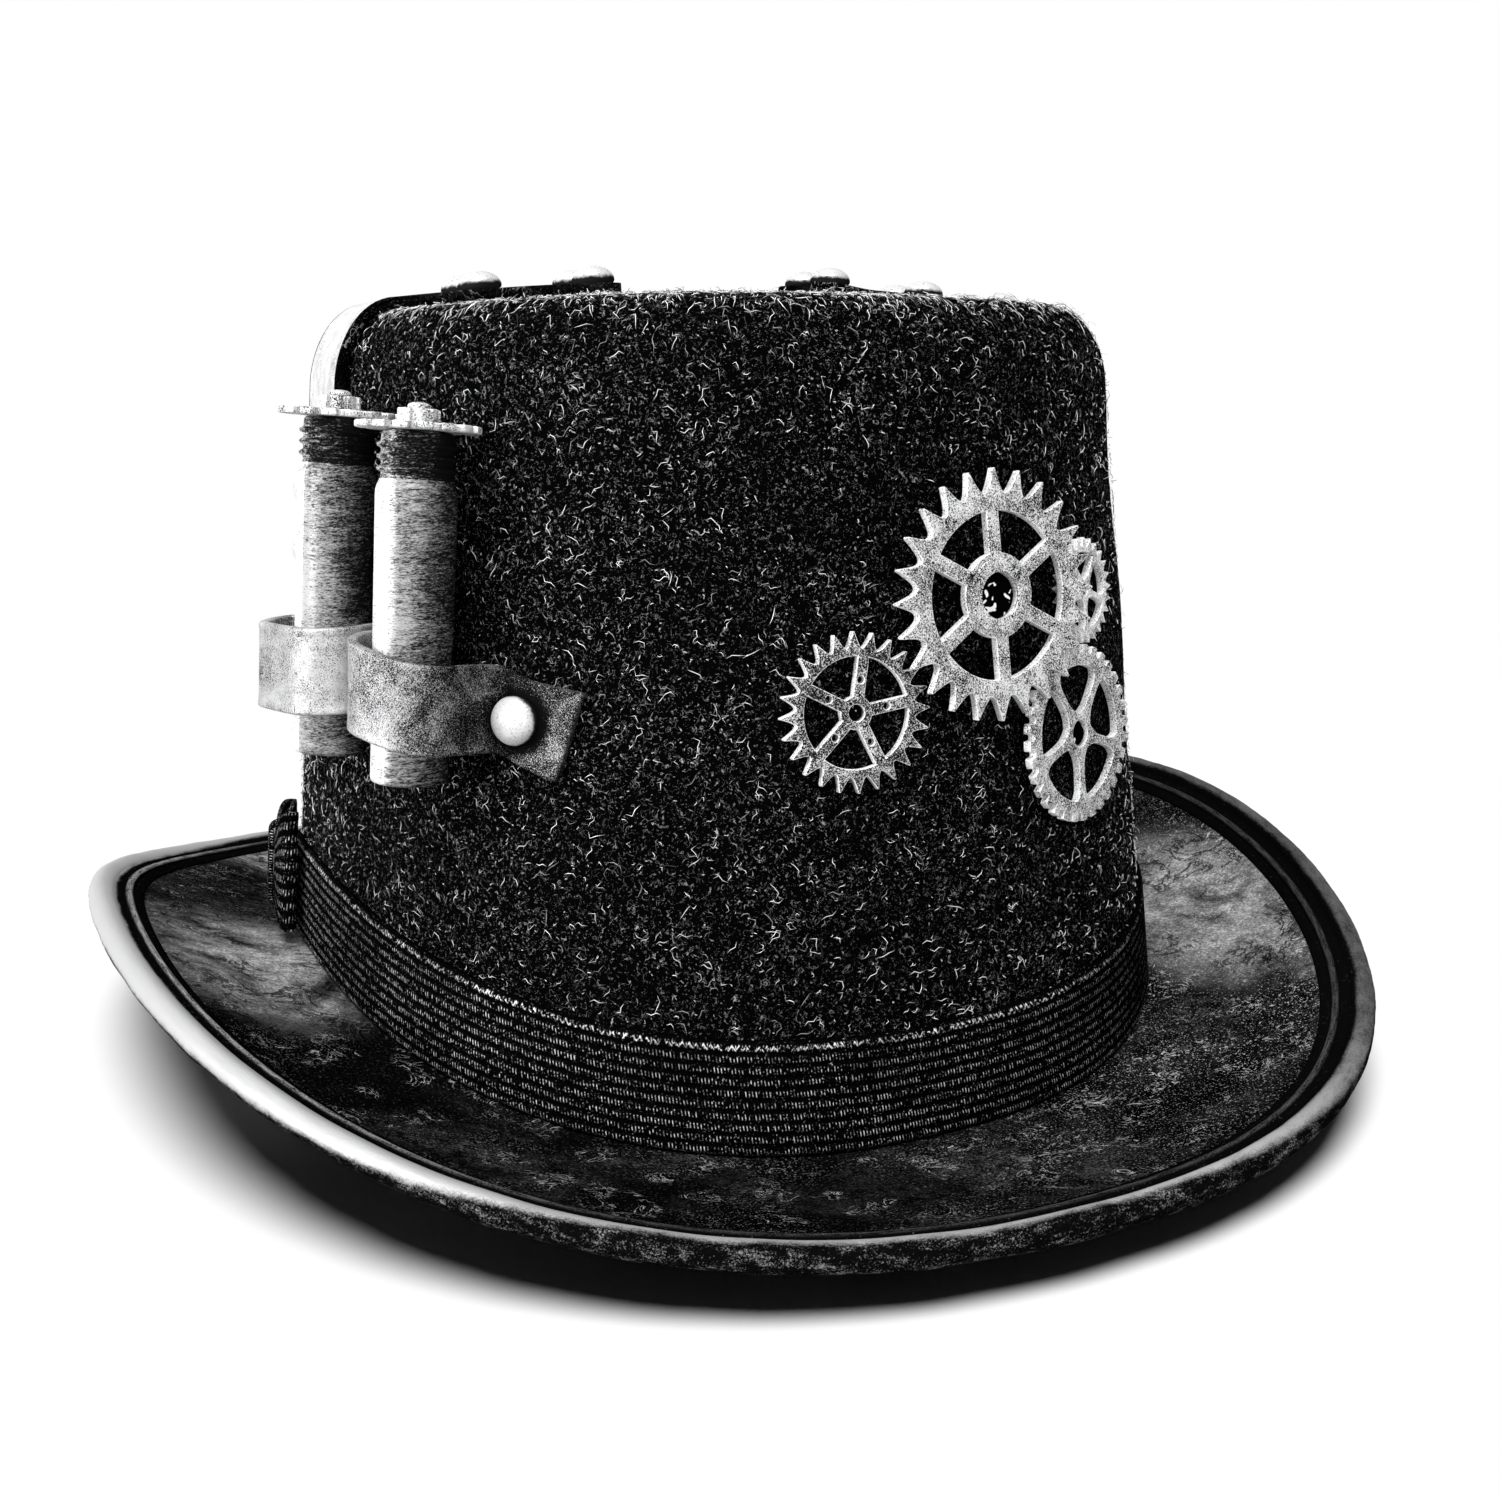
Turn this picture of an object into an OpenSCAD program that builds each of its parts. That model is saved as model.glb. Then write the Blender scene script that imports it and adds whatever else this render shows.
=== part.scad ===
// Steampunk top hat: felt crown, saddle-curled bound brim, elastic band with a side bow,
// two capsules in a looped strap, studded straps over the tip and a cluster of wall gears.
// Frame: millimetres, +Z up, the wearer's front at -Y, origin on the table under the crown.
// Angles round the crown run from +X through +Y, so the front is 270 and the bow side 180.

/* [Crown] */
// Half of the crown's side-to-side size at the height of its mean foot line
crown_half_width = 92; // [84:1:100]
// Half of the crown's front-to-back size at the same height
crown_half_length = 100; // [92:1:110]
// Height of the shoulder's top edge above the table
crown_height = 152; // [140:1:165]
// How much the wall draws in for each millimetre of height
crown_taper = 0.093; // [0.05:0.005:0.12]
// Squareness of the crown's oval, 2 being a true ellipse
crown_squareness = 2.33; // [2:0.05:2.5]
// How far the shoulder rounds in from the wall
shoulder_inset = 9; // [6:0.5:14]
// How far below the top edge the shoulder starts to round
shoulder_drop = 14; // [10:0.5:20]
// How far the tip domes up above the shoulder
tip_dome = 4; // [2:0.5:6]
// Thickness of the felt
felt_t = 2.5; // [1.8:0.1:3.2]

/* [Brim] */
// Half of the brim's side-to-side size, over the bound edge
brim_half_width = 134; // [122:1:146]
// Half of the brim's front-to-back size, over the bound edge
brim_half_length = 153.5; // [142:1:166]
// Squareness of the brim's oval
brim_squareness = 2.14; // [2:0.02:2.3]
// Thickness of the brim
brim_t = 2.5; // [2:0.1:3.2]
// How much higher the crown's foot is at the sides than at the front and back
foot_rise = 19; // [12:0.5:24]
// Height of the bound edge's middle at the front and back
edge_low = 10; // [7:0.5:14]
// How much higher the bound edge is at the sides
brim_curl = 25.8; // [16:0.2:32]
// Radius of the rolled bead on the brim's edge
bead_r = 2.5; // [2.2:0.1:3]
// Radius of the wire inside the bead
wire_r = 1.2; // [0.8:0.1:1.4]
// Width of the binding's fold on top of the brim, from the bead's middle
fold_w = 7.6; // [6.5:0.2:10]

/* [Bands] */
// Height of the elastic hatband
band_h = 20.6; // [16:0.2:26]
// Thickness of the elastic hatband
band_t = 1.3; // [0.8:0.1:1.8]
// Height of the sweatband inside the crown
sweat_h = 26; // [18:1:34]
// Thickness of the sweatband
sweat_t = 0.9; // [0.6:0.1:1.4]
// Angle of the bow's middle round the crown
bow_az = 163; // [150:1:168]
// Half of the bow's length
bow_half_length = 22; // [16:1:26]
// Height of the bow's outer ends
bow_h = 26; // [20:1:30]
// Height of the bow under its knot
bow_waist_h = 15; // [12:0.5:18]
// Slope of the bow along the band, rising towards the canisters
bow_tilt = 10; // [0:1:20]
// Thickness of the bow's ribbon
ribbon_t = 0.9; // [0.6:0.1:1.2]
// Width of the knot along the band
knot_w = 9; // [6:0.5:12]

/* [Canisters] */
// Radius of a canister's body at its shoulder
can_r = 6.95; // [6.5:0.05:7.2]
// Radius of a canister's body at its bottom
can_foot_r = 6.6; // [6.2:0.05:6.8]
// Length of a canister from its bottom to its cog plate
can_h = 60; // [54:1:66]
// Length of the threaded neck between shoulder and cog plate
neck_h = 8.2; // [6:0.2:10]
// Radius of the neck
neck_r = 6.1; // [5:0.1:6.3]
// Height of the bottom of the front canister above the table
can_z = 70.3; // [66:0.5:76]
// How much higher the rear canister stands
rear_lift = 2.3; // [2.2:0.1:4]
// Angle of the front canister round the crown
can_front_az = 216.6; // [216.4:0.1:218.5]
// Angle of the rear canister round the crown
can_rear_az = 203.3; // [202:0.1:203.5]
// How far the canisters lean along the wall, towards the front at their tops
can_tilt = 1.7; // [0:0.1:2]
// Radius of the cog plate over its teeth
cog_r = 10.6; // [9:0.2:10.8]
// Thickness of the cog plate
cog_t = 1.2; // [0.9:0.1:1.3]
// Number of teeth on a cog plate
cog_teeth = 16; // [12:1:20]
// Height of the toothed finial on the cog plate
finial_h = 2.4; // [1.8:0.1:3.2]
// Radius of the finial over its teeth
finial_r = 3.6; // [3:0.1:4.2]

/* [Canister strap] */
// Width of the canister strap
sling_w = 15.4; // [12:0.2:18]
// Thickness of the canister strap
sling_t = 1.8; // [1.4:0.1:2.2]
// Height of the strap's middle at the rear tail
sling_z = 88.5; // [84:0.5:92]
// How far the strap droops by its front tail
sling_droop = 11; // [4:0.5:12]
// Clearance between a canister and its loop
sling_gap = 0.7; // [0.6:0.05:0.9]
// Extra slack of the rear loop, along the wall
sling_slack = 6; // [3:0.5:8]
// Extra slack of the front loop, along the wall
sling_front_slack = 1.8; // [0:0.2:2]

/* [Tip straps] */
// Width of the tip straps
tip_strap_w = 24; // [22:0.5:28]
// Thickness of the tip straps
tip_strap_t = 2.4; // [1.8:0.1:3]
// Place of the tip straps' middle line in front of the crown's centre
tip_strap_fore = 4; // [0:0.5:8]
// Gap between the two straps' ends on the tip
tip_gap = 44; // [36:1:52]
// Height at which the tip straps end on the wall
tip_strap_low = 98; // [96:1:104]
// Distance between the two rows of studs
stud_rows = 12; // [11:0.5:14]
// Distance from a strap's end to its first studs
stud_inset = 5.5; // [5:0.5:8]
// Distance between stud pairs along the tip
stud_pitch = 24; // [20:0.5:25]
// Radius of a stud's head
stud_r = 4.4; // [3:0.1:4.6]
// Height of a stud's head
stud_h = 3.6; // [2.6:0.1:4]

/* [Gears] */
// Radius of the large gear over its teeth
gear_large_r = 22.5; // [20:0.1:24]
// Radius of the medium gear over its teeth
gear_medium_r = 14.1; // [12:0.1:15]
// Radius of the lower gear over its teeth
gear_lower_r = 16.9; // [15:0.1:18]
// Radius of the upper gear over its teeth
gear_upper_r = 10; // [8.5:0.1:11]
// Thickness of the gears
gear_t = 1.5; // [1.2:0.1:1.8]
// Thickness of the glue under the large gear, which lies over its neighbours
large_glue_t = 2.7; // [2.5:0.1:3.4]
// Thickness of the glue under the other gears
small_glue_t = 0.5; // [0.3:0.1:0.7]

/* [Hidden] */

sides = 72;             // columns round the crown and brim
seat = 0.05;            // gap between pieces sewn or glued face to face
strap_seat = 0.2;       // gap between a stiff strap and the felt under it
fold_seat = 0.12;       // gap between the brim's skin and the binding folded over it
curl_power = 2.87;      // how late round the oval the brim curls up
foot_power = 2.4;       // how late round the oval the foot line rises
roll_power = 1.6;       // how late across its width the brim rolls up
steps = [for (i = [0 : sides - 1]) i * 360 / sides];
wall_lean = atan(crown_taper);
foot_mean = brim_t + foot_rise / 2;

// ---- the crown's and brim's governing curves ----

// Distance from the centre to an oval |x/a|^n + |y/b|^n = 1 at an angle
function oval_r(az, a, b, n) = pow(pow(abs(cos(az)) / a, n) + pow(abs(sin(az)) / b, n), -1 / n);

// Outer radius of the crown's wall at an angle and height, less an inset
function wall_r(az, z, inset = 0) =
    let (draw = crown_taper * (z - foot_mean) + inset)
    oval_r(az, crown_half_width - draw, crown_half_length - draw, crown_squareness);

// A point on the wall at an angle and height, standing off by a distance
function wall_point(az, z, off = 0) =
    let (r = wall_r(az, z) + off)
    [r * cos(az), r * sin(az), z];

// Angle of the wall's outward normal in plan
function wall_normal(az) =
    let (p = wall_point(az, foot_mean), n = crown_squareness)
    atan2(
        sign(p.y) * pow(abs(p.y) / crown_half_length, n - 1) / crown_half_length,
        sign(p.x) * pow(abs(p.x) / crown_half_width, n - 1) / crown_half_width
    );

// Height of the line where the crown leaves the brim's top
function foot_z(az) = brim_t + foot_rise * pow(abs(cos(az)), foot_power);

// Centre of the bead round the brim's edge, as [radius, height]
function bead_centre(az) = [
    oval_r(az, brim_half_width - bead_r, brim_half_length - bead_r, brim_squareness),
    edge_low + brim_curl * pow(abs(cos(az)), curl_power)
];

// Middle of the brim's thickness, s from 0 at the crown to 1 at the bead, as [radius, height]
function brim_mid(az, s) =
    let (foot = foot_z(az) - brim_t / 2, start = wall_r(az, foot) + seat, edge = bead_centre(az))
    [start + (edge[0] - start) * s, foot + (edge[1] - foot) * pow(s, roll_power)];

// Unit vector along the brim, pointing outwards, at s
function brim_dir(az, s) =
    let (d = brim_mid(az, s + 0.01) - brim_mid(az, max(s - 0.01, 0)))
    d / norm(d);

function upright(d) = [-d[1], d[0]];
function turn(az, rz) = [rz[0] * cos(az), rz[0] * sin(az), rz[1]];
function smooth(t) = let (u = min(max(t, 0), 1)) u * u * (3 - 2 * u);

// ---- lofts ----

// Two triangles for the square of a grid with its corners a, b, c, d in clockwise order
function square_faces(a, b, c, d) = [[a, b, c], [a, c, d]];

// A closed ring: one clockwise [radius, height] section for each column
module ring_loft(sections) {
    n = len(sections);
    k = len(sections[0]);
    points = [for (i = [0 : n - 1], p = sections[i]) turn(steps[i], p)];
    faces = [
        for (i = [0 : n - 1], j = [0 : k - 1])
            let (i2 = (i + 1) % n, j2 = (j + 1) % k)
            each square_faces(i * k + j, i2 * k + j, i2 * k + j2, i * k + j2)
    ];
    polyhedron(points, faces, convexity = 6);
}

// A cup: rings from the outside tip, down the outside, round the rim and up the inside
module cup_loft(rings, outer_pole, inner_pole) {
    m = len(rings);
    n = len(rings[0]);
    points = concat([outer_pole], [for (ring = rings, p = ring) p], [inner_pole]);
    last = m * n + 1;
    faces = concat(
        [for (i = [0 : n - 1]) [0, 1 + (i + 1) % n, 1 + i]],
        [
            for (j = [0 : m - 2], i = [0 : n - 1])
                let (i2 = (i + 1) % n, a = 1 + j * n, b = a + n)
                each square_faces(a + i, a + i2, b + i2, b + i)
        ],
        [for (i = [0 : n - 1]) [last, last - n + i, last - n + (i + 1) % n]]
    );
    polyhedron(points, faces, convexity = 6);
}

// A strip: four corners for each station, clockwise as seen looking back along the path
module strip_loft(stations, closed = false) {
    n = len(stations);
    points = [for (station = stations, p = station) p];
    spans = closed ? n : n - 1;
    sides_faces = [
        for (i = [0 : spans - 1], j = [0 : 3])
            let (i2 = (i + 1) % n, j2 = (j + 1) % 4)
            each square_faces(i * 4 + j, i * 4 + j2, i2 * 4 + j2, i2 * 4 + j)
    ];
    end = (n - 1) * 4;
    caps = closed ? [] : concat(
        square_faces(3, 2, 1, 0),
        square_faces(end, end + 1, end + 2, end + 3)
    );
    polyhedron(points, concat(sides_faces, caps), convexity = 6);
}

// ---- crown ----

shoulder_steps = [75, 60, 45, 30, 15, 0];

// One ring of the shoulder at an angle t of its rounding, 0 at the wall and 90 at the tip
function shoulder_ring(t, inset) = [
    for (az = steps)
        let (
            z = crown_height - inset - shoulder_drop * (1 - sin(t)),
            r = wall_r(az, z, inset + shoulder_inset * (1 - cos(t)))
        )
        [r * cos(az), r * sin(az), z]
];

// One ring of the tip's dome, k being its share of the tip's size
function tip_ring(k, inset) = [
    for (az = steps)
        let (r = k * wall_r(az, crown_height, inset + shoulder_inset))
        [r * cos(az), r * sin(az), crown_height - inset + tip_dome * (1 - k * k)]
];

// One ring of the wall at a share of the way up from the foot
function wall_ring(share, inset) = [
    for (az = steps)
        let (
            low = foot_z(az) - brim_t,
            high = crown_height - inset - shoulder_drop,
            z = low + (high - low) * share,
            r = wall_r(az, z, inset)
        )
        [r * cos(az), r * sin(az), z]
];

module crown_shell() {
    color("#1a1a1b")
        cup_loft(
            concat(
                [for (k = [0.3, 0.6, 0.85, 1]) tip_ring(k, 0)],
                [for (t = shoulder_steps) shoulder_ring(t, 0)],
                [for (share = [0.5, 0]) wall_ring(share, 0)],
                [for (share = [0, 0.5]) wall_ring(share, felt_t)],
                [for (i = [len(shoulder_steps) - 1 : -1 : 0]) shoulder_ring(shoulder_steps[i], felt_t)],
                [for (k = [1, 0.85, 0.6, 0.3]) tip_ring(k, felt_t)]
            ),
            [0, 0, crown_height + tip_dome],
            [0, 0, crown_height + tip_dome - felt_t]
        );
}

// ---- brim, binding and wire ----

brim_stations = [0.14, 0.32, 0.52, 0.72];
under_w = 5.4;          // width of the binding's fold under the brim

// Share of the brim's width at a distance in from the bead's centre
function brim_share(az, inward) = 1 - inward / (bead_centre(az)[0] - brim_mid(az, 0)[0]);

// A point of the brim's top (side 1) or underside (side -1)
function brim_skin(az, s, side) = brim_mid(az, s) + side * brim_t / 2 * upright(brim_dir(az, s));

// The brim's inner corner against the crown's wall, at its top or underside
function brim_root(az, side) =
    let (z = foot_z(az) - brim_t / 2 + side * brim_t / 2)
    [wall_r(az, z) + seat, z];

module brim() {
    color("#202021")
        ring_loft([
            for (az = steps)
                let (
                    shares = concat(
                        brim_stations,
                        [for (inward = [fold_w, under_w, wire_r + seat]) brim_share(az, inward)]
                    ),
                    m = len(shares)
                )
                concat(
                    [brim_root(az, 1)],
                    [for (s = shares) brim_skin(az, s, 1)],
                    [for (i = [m - 1 : -1 : 0]) brim_skin(az, shares[i], -1)],
                    [brim_root(az, -1)]
                )
        ]);
}

fold_t = 0.6;           // thickness of the binding strip where it lies flat
rib_w = 1.7;            // width of the rib along the fold's inner edge
rib_h = 0.7;            // height of that rib above the fold
lip = brim_t / 2 + fold_seat;
channel_r = wire_r + 2 * seat;

// The binding's section about the bead's centre: [along the brim, up from it], clockwise
binding_section = concat(
    [
        [-fold_w, lip], [-fold_w, lip + fold_t + rib_h / 2], [-fold_w + rib_w / 2, lip + fold_t + rib_h],
        [-fold_w + rib_w, lip + fold_t], [-bead_r, lip + fold_t]
    ],
    [for (a = [130 : -32.5 : -130]) bead_r * [cos(a), sin(a)]],
    [[-bead_r, -lip - fold_t], [-under_w, -lip - fold_t], [-under_w, -lip], [-channel_r, -lip]],
    [for (a = [-90 : 45 : 90]) [channel_r * cos(a), (channel_r + lip - wire_r) * sin(a)]],
    [[-channel_r, lip]]
);

// A section of [along the brim, up from it] points set round the bead of one column; points
// inwards of the bead's centre follow the brim's own curve
function at_bead(az, section) = [
    for (p = section)
        let (s = brim_share(az, max(-p[0], 0)), d = brim_dir(az, s))
        brim_mid(az, s) + max(p[0], 0) * d + p[1] * upright(d)
];

module brim_binding() {
    color("#9b9c9e")
        ring_loft([for (az = steps) at_bead(az, binding_section)]);
}

module brim_wire() {
    wire_section = [for (a = [180 : -60 : -120]) wire_r * [cos(a), sin(a)]];
    color("#77787a")
        ring_loft([for (az = steps) at_bead(az, wire_section)]);
}

// ---- hatband, sweatband and bow ----

// Section of a flat band on the wall between two heights, from one inset to another
function band_section(az, low, high, inner, outer) = [
    [wall_r(az, high, inner), high], [wall_r(az, high, outer), high],
    [wall_r(az, low, outer), low], [wall_r(az, low, inner), low]
];

band_lift = 0.3;        // gap between the hatband's lower edge and the brim

module hatband() {
    color("#141415")
        ring_loft([
            for (az = steps)
                let (low = foot_z(az) + band_lift)
                band_section(az, low, low + band_h, -seat, -seat - band_t)
        ]);
}

module sweatband() {
    color("#26221f")
        ring_loft([
            for (az = steps)
                let (low = foot_z(az) - brim_t + 0.4, inner = felt_t + seat)
                band_section(az, low, low + sweat_h, inner + sweat_t, inner)
        ]);
}

knot_t = 0.8;                                        // thickness of the knot's ribbon
knot_room = 0.5;                                     // from the bow's faces to the knot's inside
knot_off = seat + band_t + 0.15;                     // from the felt to the knot's back face
bow_off = knot_off + knot_t + knot_room;             // from the felt to the bow's back face
bow_bulge = 1.1;                                     // half the distance between the bow's layers
bow_mid = bow_off + ribbon_t / 2 + bow_bulge;        // from the felt to the bow's middle
bow_z = foot_z(bow_az) + band_h / 2 + 4;             // height of the bow's middle

// The bow's closed path: [along the band, out from its middle], outer layer first
bow_path = let (flat = bow_half_length - bow_bulge - ribbon_t / 2) concat(
    [for (i = [-5 : 5]) [flat * i / 5, bow_bulge]],
    [for (a = [60, 0, -60]) [flat + bow_bulge * cos(a), bow_bulge * sin(a)]],
    [for (i = [5 : -1 : -5]) [flat * i / 5, -bow_bulge]],
    [for (a = [-120, -180, -240]) [-flat + bow_bulge * cos(a), bow_bulge * sin(a)]]
);

// A place on the bow: u along the band, v out from the felt, at a height
function bow_point(u, v, z) =
    let (r = wall_r(bow_az, bow_z), az = bow_az + u / r * 180 / PI)
    wall_point(az, z, v);

module hatband_bow() {
    n = len(bow_path);
    color("#141415")
        strip_loft([
            for (i = [0 : n - 1])
                let (
                    p = bow_path[i],
                    d = bow_path[(i + 1) % n] - bow_path[(i + n - 1) % n],
                    out = upright(d / norm(d)) * ribbon_t / 2,
                    flare = smooth((abs(p[0]) - knot_w / 2) / (bow_half_length - knot_w / 2)),
                    half = (bow_waist_h + (bow_h - bow_waist_h) * flare) / 2,
                    z = bow_z + p[0] * tan(bow_tilt),
                    a = p + out,
                    b = p - out
                )
                [
                    bow_point(a[0], bow_mid + a[1], z + half), bow_point(b[0], bow_mid + b[1], z + half),
                    bow_point(b[0], bow_mid + b[1], z - half), bow_point(a[0], bow_mid + a[1], z - half)
                ]
        ], closed = true);
}

// A frame on the wall: X to the right and Y up as seen from outside, Z straight out
module on_wall(az, z, off = 0) {
    translate(wall_point(az, z))
        rotate([0, 0, wall_normal(az)])
            rotate([0, 90 - wall_lean, 0])
                rotate([0, 0, 90])
                    translate([0, 0, off])
                        children();
}

module bow_knot() {
    depth = 2 * bow_bulge + ribbon_t + 2 * knot_room;
    height = bow_waist_h + 4 * knot_room + 0.5;
    color("#101011")
        on_wall(bow_az, bow_z, bow_mid)
            rotate([0, 0, bow_tilt])
                rotate([90, 0, 90])
                    linear_extrude(height = knot_w, center = true)
                        difference() {
                            square([height + 2 * knot_t, depth + 2 * knot_t], center = true);
                            square([height, depth], center = true);
                        }
}

// ---- canisters ----

can_off = cog_r + 0.7;  // from the felt to a canister's axis, so that the cog clears the wall

// A canister's frame: Z up its axis, which leans with the wall and, about its strap, along it
module at_canister(az, lift) {
    pivot = sling_z - can_z;
    rotate([0, 0, az])
        translate([wall_r(az, can_z) + can_off, 0, can_z])
            rotate([0, -wall_lean, 0])
                translate([0, 0, pivot])
                    rotate([-can_tilt, 0, 0])
                        translate([0, 0, lift - pivot])
                            children();
}

module canister_body() {
    shoulder = can_h - neck_h;
    ring = 0.55;
    color("#b9babc")
        rotate_extrude($fn = 64)
            polygon(concat(
                [[0, 0], [can_foot_r - 0.9, 0], [can_foot_r - 0.25, 0.3], [can_foot_r, 1]],
                [[can_r, shoulder - 2.4], [can_r - 0.15, shoulder - 1.4], [can_r - 0.5, shoulder - 0.6]],
                [[neck_r + 0.25, shoulder - 0.1], [neck_r, shoulder + 0.5]],
                [
                    for (share = [0.16, 0.4, 0.64], step = [[0, -0.5], [ring, -0.25], [ring, 0.25], [0, 0.5]])
                        [neck_r + step[0], shoulder + neck_h * share + step[1] * 1.1 + 0.4]
                ],
                [[neck_r, can_h - 0.5], [neck_r - 0.5, can_h], [0, can_h]]
            ));
}

// A ring of flat-topped teeth cut by straight-sided gaps
module block_gear(radius, teeth, depth, gap_share) {
    difference() {
        circle(r = radius, $fn = 96);
        for (i = [0 : teeth - 1])
            rotate(i * 360 / teeth)
                translate([radius - depth, -PI * radius * gap_share / teeth])
                    square([2 * depth, 2 * PI * radius * gap_share / teeth]);
    }
}

module canister_cog() {
    color("#a9aaac")
        translate([0, 0, can_h + seat])
            linear_extrude(height = cog_t)
                difference() {
                    block_gear(cog_r, cog_teeth, 2.2, 0.36);
                    for (i = [0 : 5])
                        rotate(i * 60)
                            translate([cog_r * 0.56, 0])
                                circle(r = 1.3, $fn = 24);
                }
}

module canister_finial() {
    color("#c4c5c7")
        translate([0, 0, can_h + cog_t + 2 * seat]) {
            linear_extrude(height = finial_h)
                block_gear(finial_r, 8, 0.9, 0.4);
            translate([0, 0, finial_h])
                cylinder(r1 = finial_r * 0.55, r2 = finial_r * 0.3, h = 0.8, $fn = 32);
        }
}

module canister_front_body() {
    at_canister(can_front_az, 0) canister_body();
}

module canister_front_cog() {
    at_canister(can_front_az, 0) canister_cog();
}

module canister_front_finial() {
    at_canister(can_front_az, 0) canister_finial();
}

module canister_rear_body() {
    at_canister(can_rear_az, rear_lift) canister_body();
}

module canister_rear_cog() {
    at_canister(can_rear_az, rear_lift) canister_cog();
}

module canister_rear_finial() {
    at_canister(can_rear_az, rear_lift) canister_finial();
}

// ---- canister strap ----

loop_r = can_r + sling_gap + sling_t / 2;   // from a canister's axis to the strap's middle
sling_flat = strap_seat + sling_t / 2;      // from the felt to the strap's middle where it lies flat
tail_rear = [180.5, 187.2];                 // where the rear tail lies on the wall
tail_front_end = 232;                       // where the front tail ends
rivet_rear_az = 183.9;
rivet_front_az = 226.2;
tail_step = 1.65;                           // angle between the stations of a tail
end_cut = 1.45;                             // half the angle by which the front end is cut aslant

// Height of the strap's middle at an angle: it droops past the canisters
function sling_height(az) = sling_z - sling_droop * smooth((az - 208) / 28);

// Centre of a canister, in plan, at the strap's height
function can_centre(az, along = 0) =
    let (p = wall_point(az, sling_height(az), can_off))
    [p.x - along * sin(az), p.y + along * cos(az)];

// Points round a canister: angle a is 180 on its rear side, 90 outwards, 0 on its front side
function loop_arc(az, angles, along = 0) =
    let (c = can_centre(az, along))
    [for (a = angles) c + loop_r * [sin(a) * cos(az) - cos(a) * sin(az), sin(a) * sin(az) + cos(a) * cos(az)]];

function flat_run(azs) = [for (az = azs) let (p = wall_point(az, sling_height(az), sling_flat)) [p.x, p.y]];

dip_az = (can_front_az + can_rear_az) / 2;
sling_path = concat(
    flat_run([tail_rear[0], for (i = [-1 : 1]) rivet_rear_az + i * tail_step, tail_rear[1]]),
    loop_arc(can_rear_az, [205, 185, 162, 138, 114], -sling_slack),
    loop_arc(can_rear_az, [90, 68, 46, 24, 2, -20]),
    flat_run([dip_az - 0.5, dip_az + 0.5]),
    loop_arc(can_front_az, [200, 178, 156, 134, 112], -sling_front_slack),
    loop_arc(can_front_az, [90, 68, 46, 26, 8]),
    flat_run([for (i = [-1.75, 0, 1, 2]) rivet_front_az + i * tail_step, tail_front_end])
);

// A corner of the strap: a plan point moved out, then up or down with the wall's lean
function sling_corner(p, side, up) =
    let (
        az = (atan2(p.y, p.x) + 360) % 360,
        cut = up * end_cut * smooth((az - rivet_front_az) / (tail_front_end - rivet_front_az)),
        rise = up * sling_w / 2,
        q = p + side,
        r = norm(q) - crown_taper * rise
    )
    [r * cos(az + cut), r * sin(az + cut), sling_height(az) + rise];

module canister_strap() {
    n = len(sling_path);
    color("#a2a3a5")
        difference() {
            strip_loft([
                for (i = [0 : n - 1])
                    let (
                        d = sling_path[min(i + 1, n - 1)] - sling_path[max(i - 1, 0)],
                        out = -upright(d / norm(d)) * sling_t / 2,
                        p = sling_path[i]
                    )
                    [
                        sling_corner(p, -out, 1), sling_corner(p, out, 1),
                        sling_corner(p, out, -1), sling_corner(p, -out, -1)
                    ]
            ]);
            for (az = [rivet_rear_az, rivet_front_az])
                on_wall(az, sling_height(az), -1)
                    cylinder(r = shank_r + seat, h = 8, $fn = 32);
        }
}

// ---- studs ----

shank_r = 1.5;

// A domed stud: mushroom head on Z = 0, its shank running down through the strap
module stud(strap_t) {
    rotate_extrude($fn = 48)
        polygon(concat(
            [[0, -strap_t], [shank_r, -strap_t], [shank_r, 0], [stud_r - 0.5, 0], [stud_r, 0.7]],
            [for (a = [15 : 15 : 75]) [stud_r * cos(a), 0.7 + (stud_h - 0.7) * sin(a)]],
            [[0, stud_h]]
        ));
}

module canister_strap_rivets() {
    color("#c9cacc")
        for (az = [rivet_rear_az, rivet_front_az])
            on_wall(az, sling_height(az), sling_flat + sling_t / 2 + 2 * seat)
                stud(sling_t);
}

// ---- tip straps ----

tip_y = -tip_strap_fore;

// Outward reach of the crown beside the tip straps' middle line, from its half sizes
function reach(a, b) = a * pow(1 - pow(abs(tip_y) / b, crown_squareness), 1 / crown_squareness);

// A point of the crown's profile under the straps, as [x, z], on the shoulder at angle t
function strap_shoulder(t) =
    let (
        z = crown_height - shoulder_drop * (1 - sin(t)),
        draw = crown_taper * (z - foot_mean) + shoulder_inset * (1 - cos(t))
    )
    [reach(crown_half_width - draw, crown_half_length - draw), z];

// The same on the wall at a height
function strap_wall(z) =
    let (draw = crown_taper * (z - foot_mean))
    [reach(crown_half_width - draw, crown_half_length - draw), z];

tip_reach = strap_shoulder(90)[0];

// The same on the tip at a distance from the middle
function strap_tip(x) =
    let (k = norm([x / tip_reach, tip_y / crown_half_length]))
    [x, crown_height + tip_dome * (1 - k * k)];

strap_path = concat(
    [for (share = [0 : 0.2 : 0.9]) strap_tip(tip_gap / 2 + (tip_reach - tip_gap / 2) * share)],
    [for (i = [6 : -1 : 0]) strap_shoulder(i * 15)],
    [for (share = [0.25 : 0.25 : 1])
        strap_wall(crown_height - shoulder_drop
            + (tip_strap_low - crown_height + shoulder_drop) * share)]
);

// Unit outward normal of the strap's path at a point of it
function path_out(i) =
    let (n = len(strap_path), d = strap_path[min(i + 1, n - 1)] - strap_path[max(i - 1, 0)])
    upright(d / norm(d));

function offset_path(off) = [for (i = [0 : len(strap_path) - 1]) strap_path[i] + off * path_out(i)];

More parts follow.
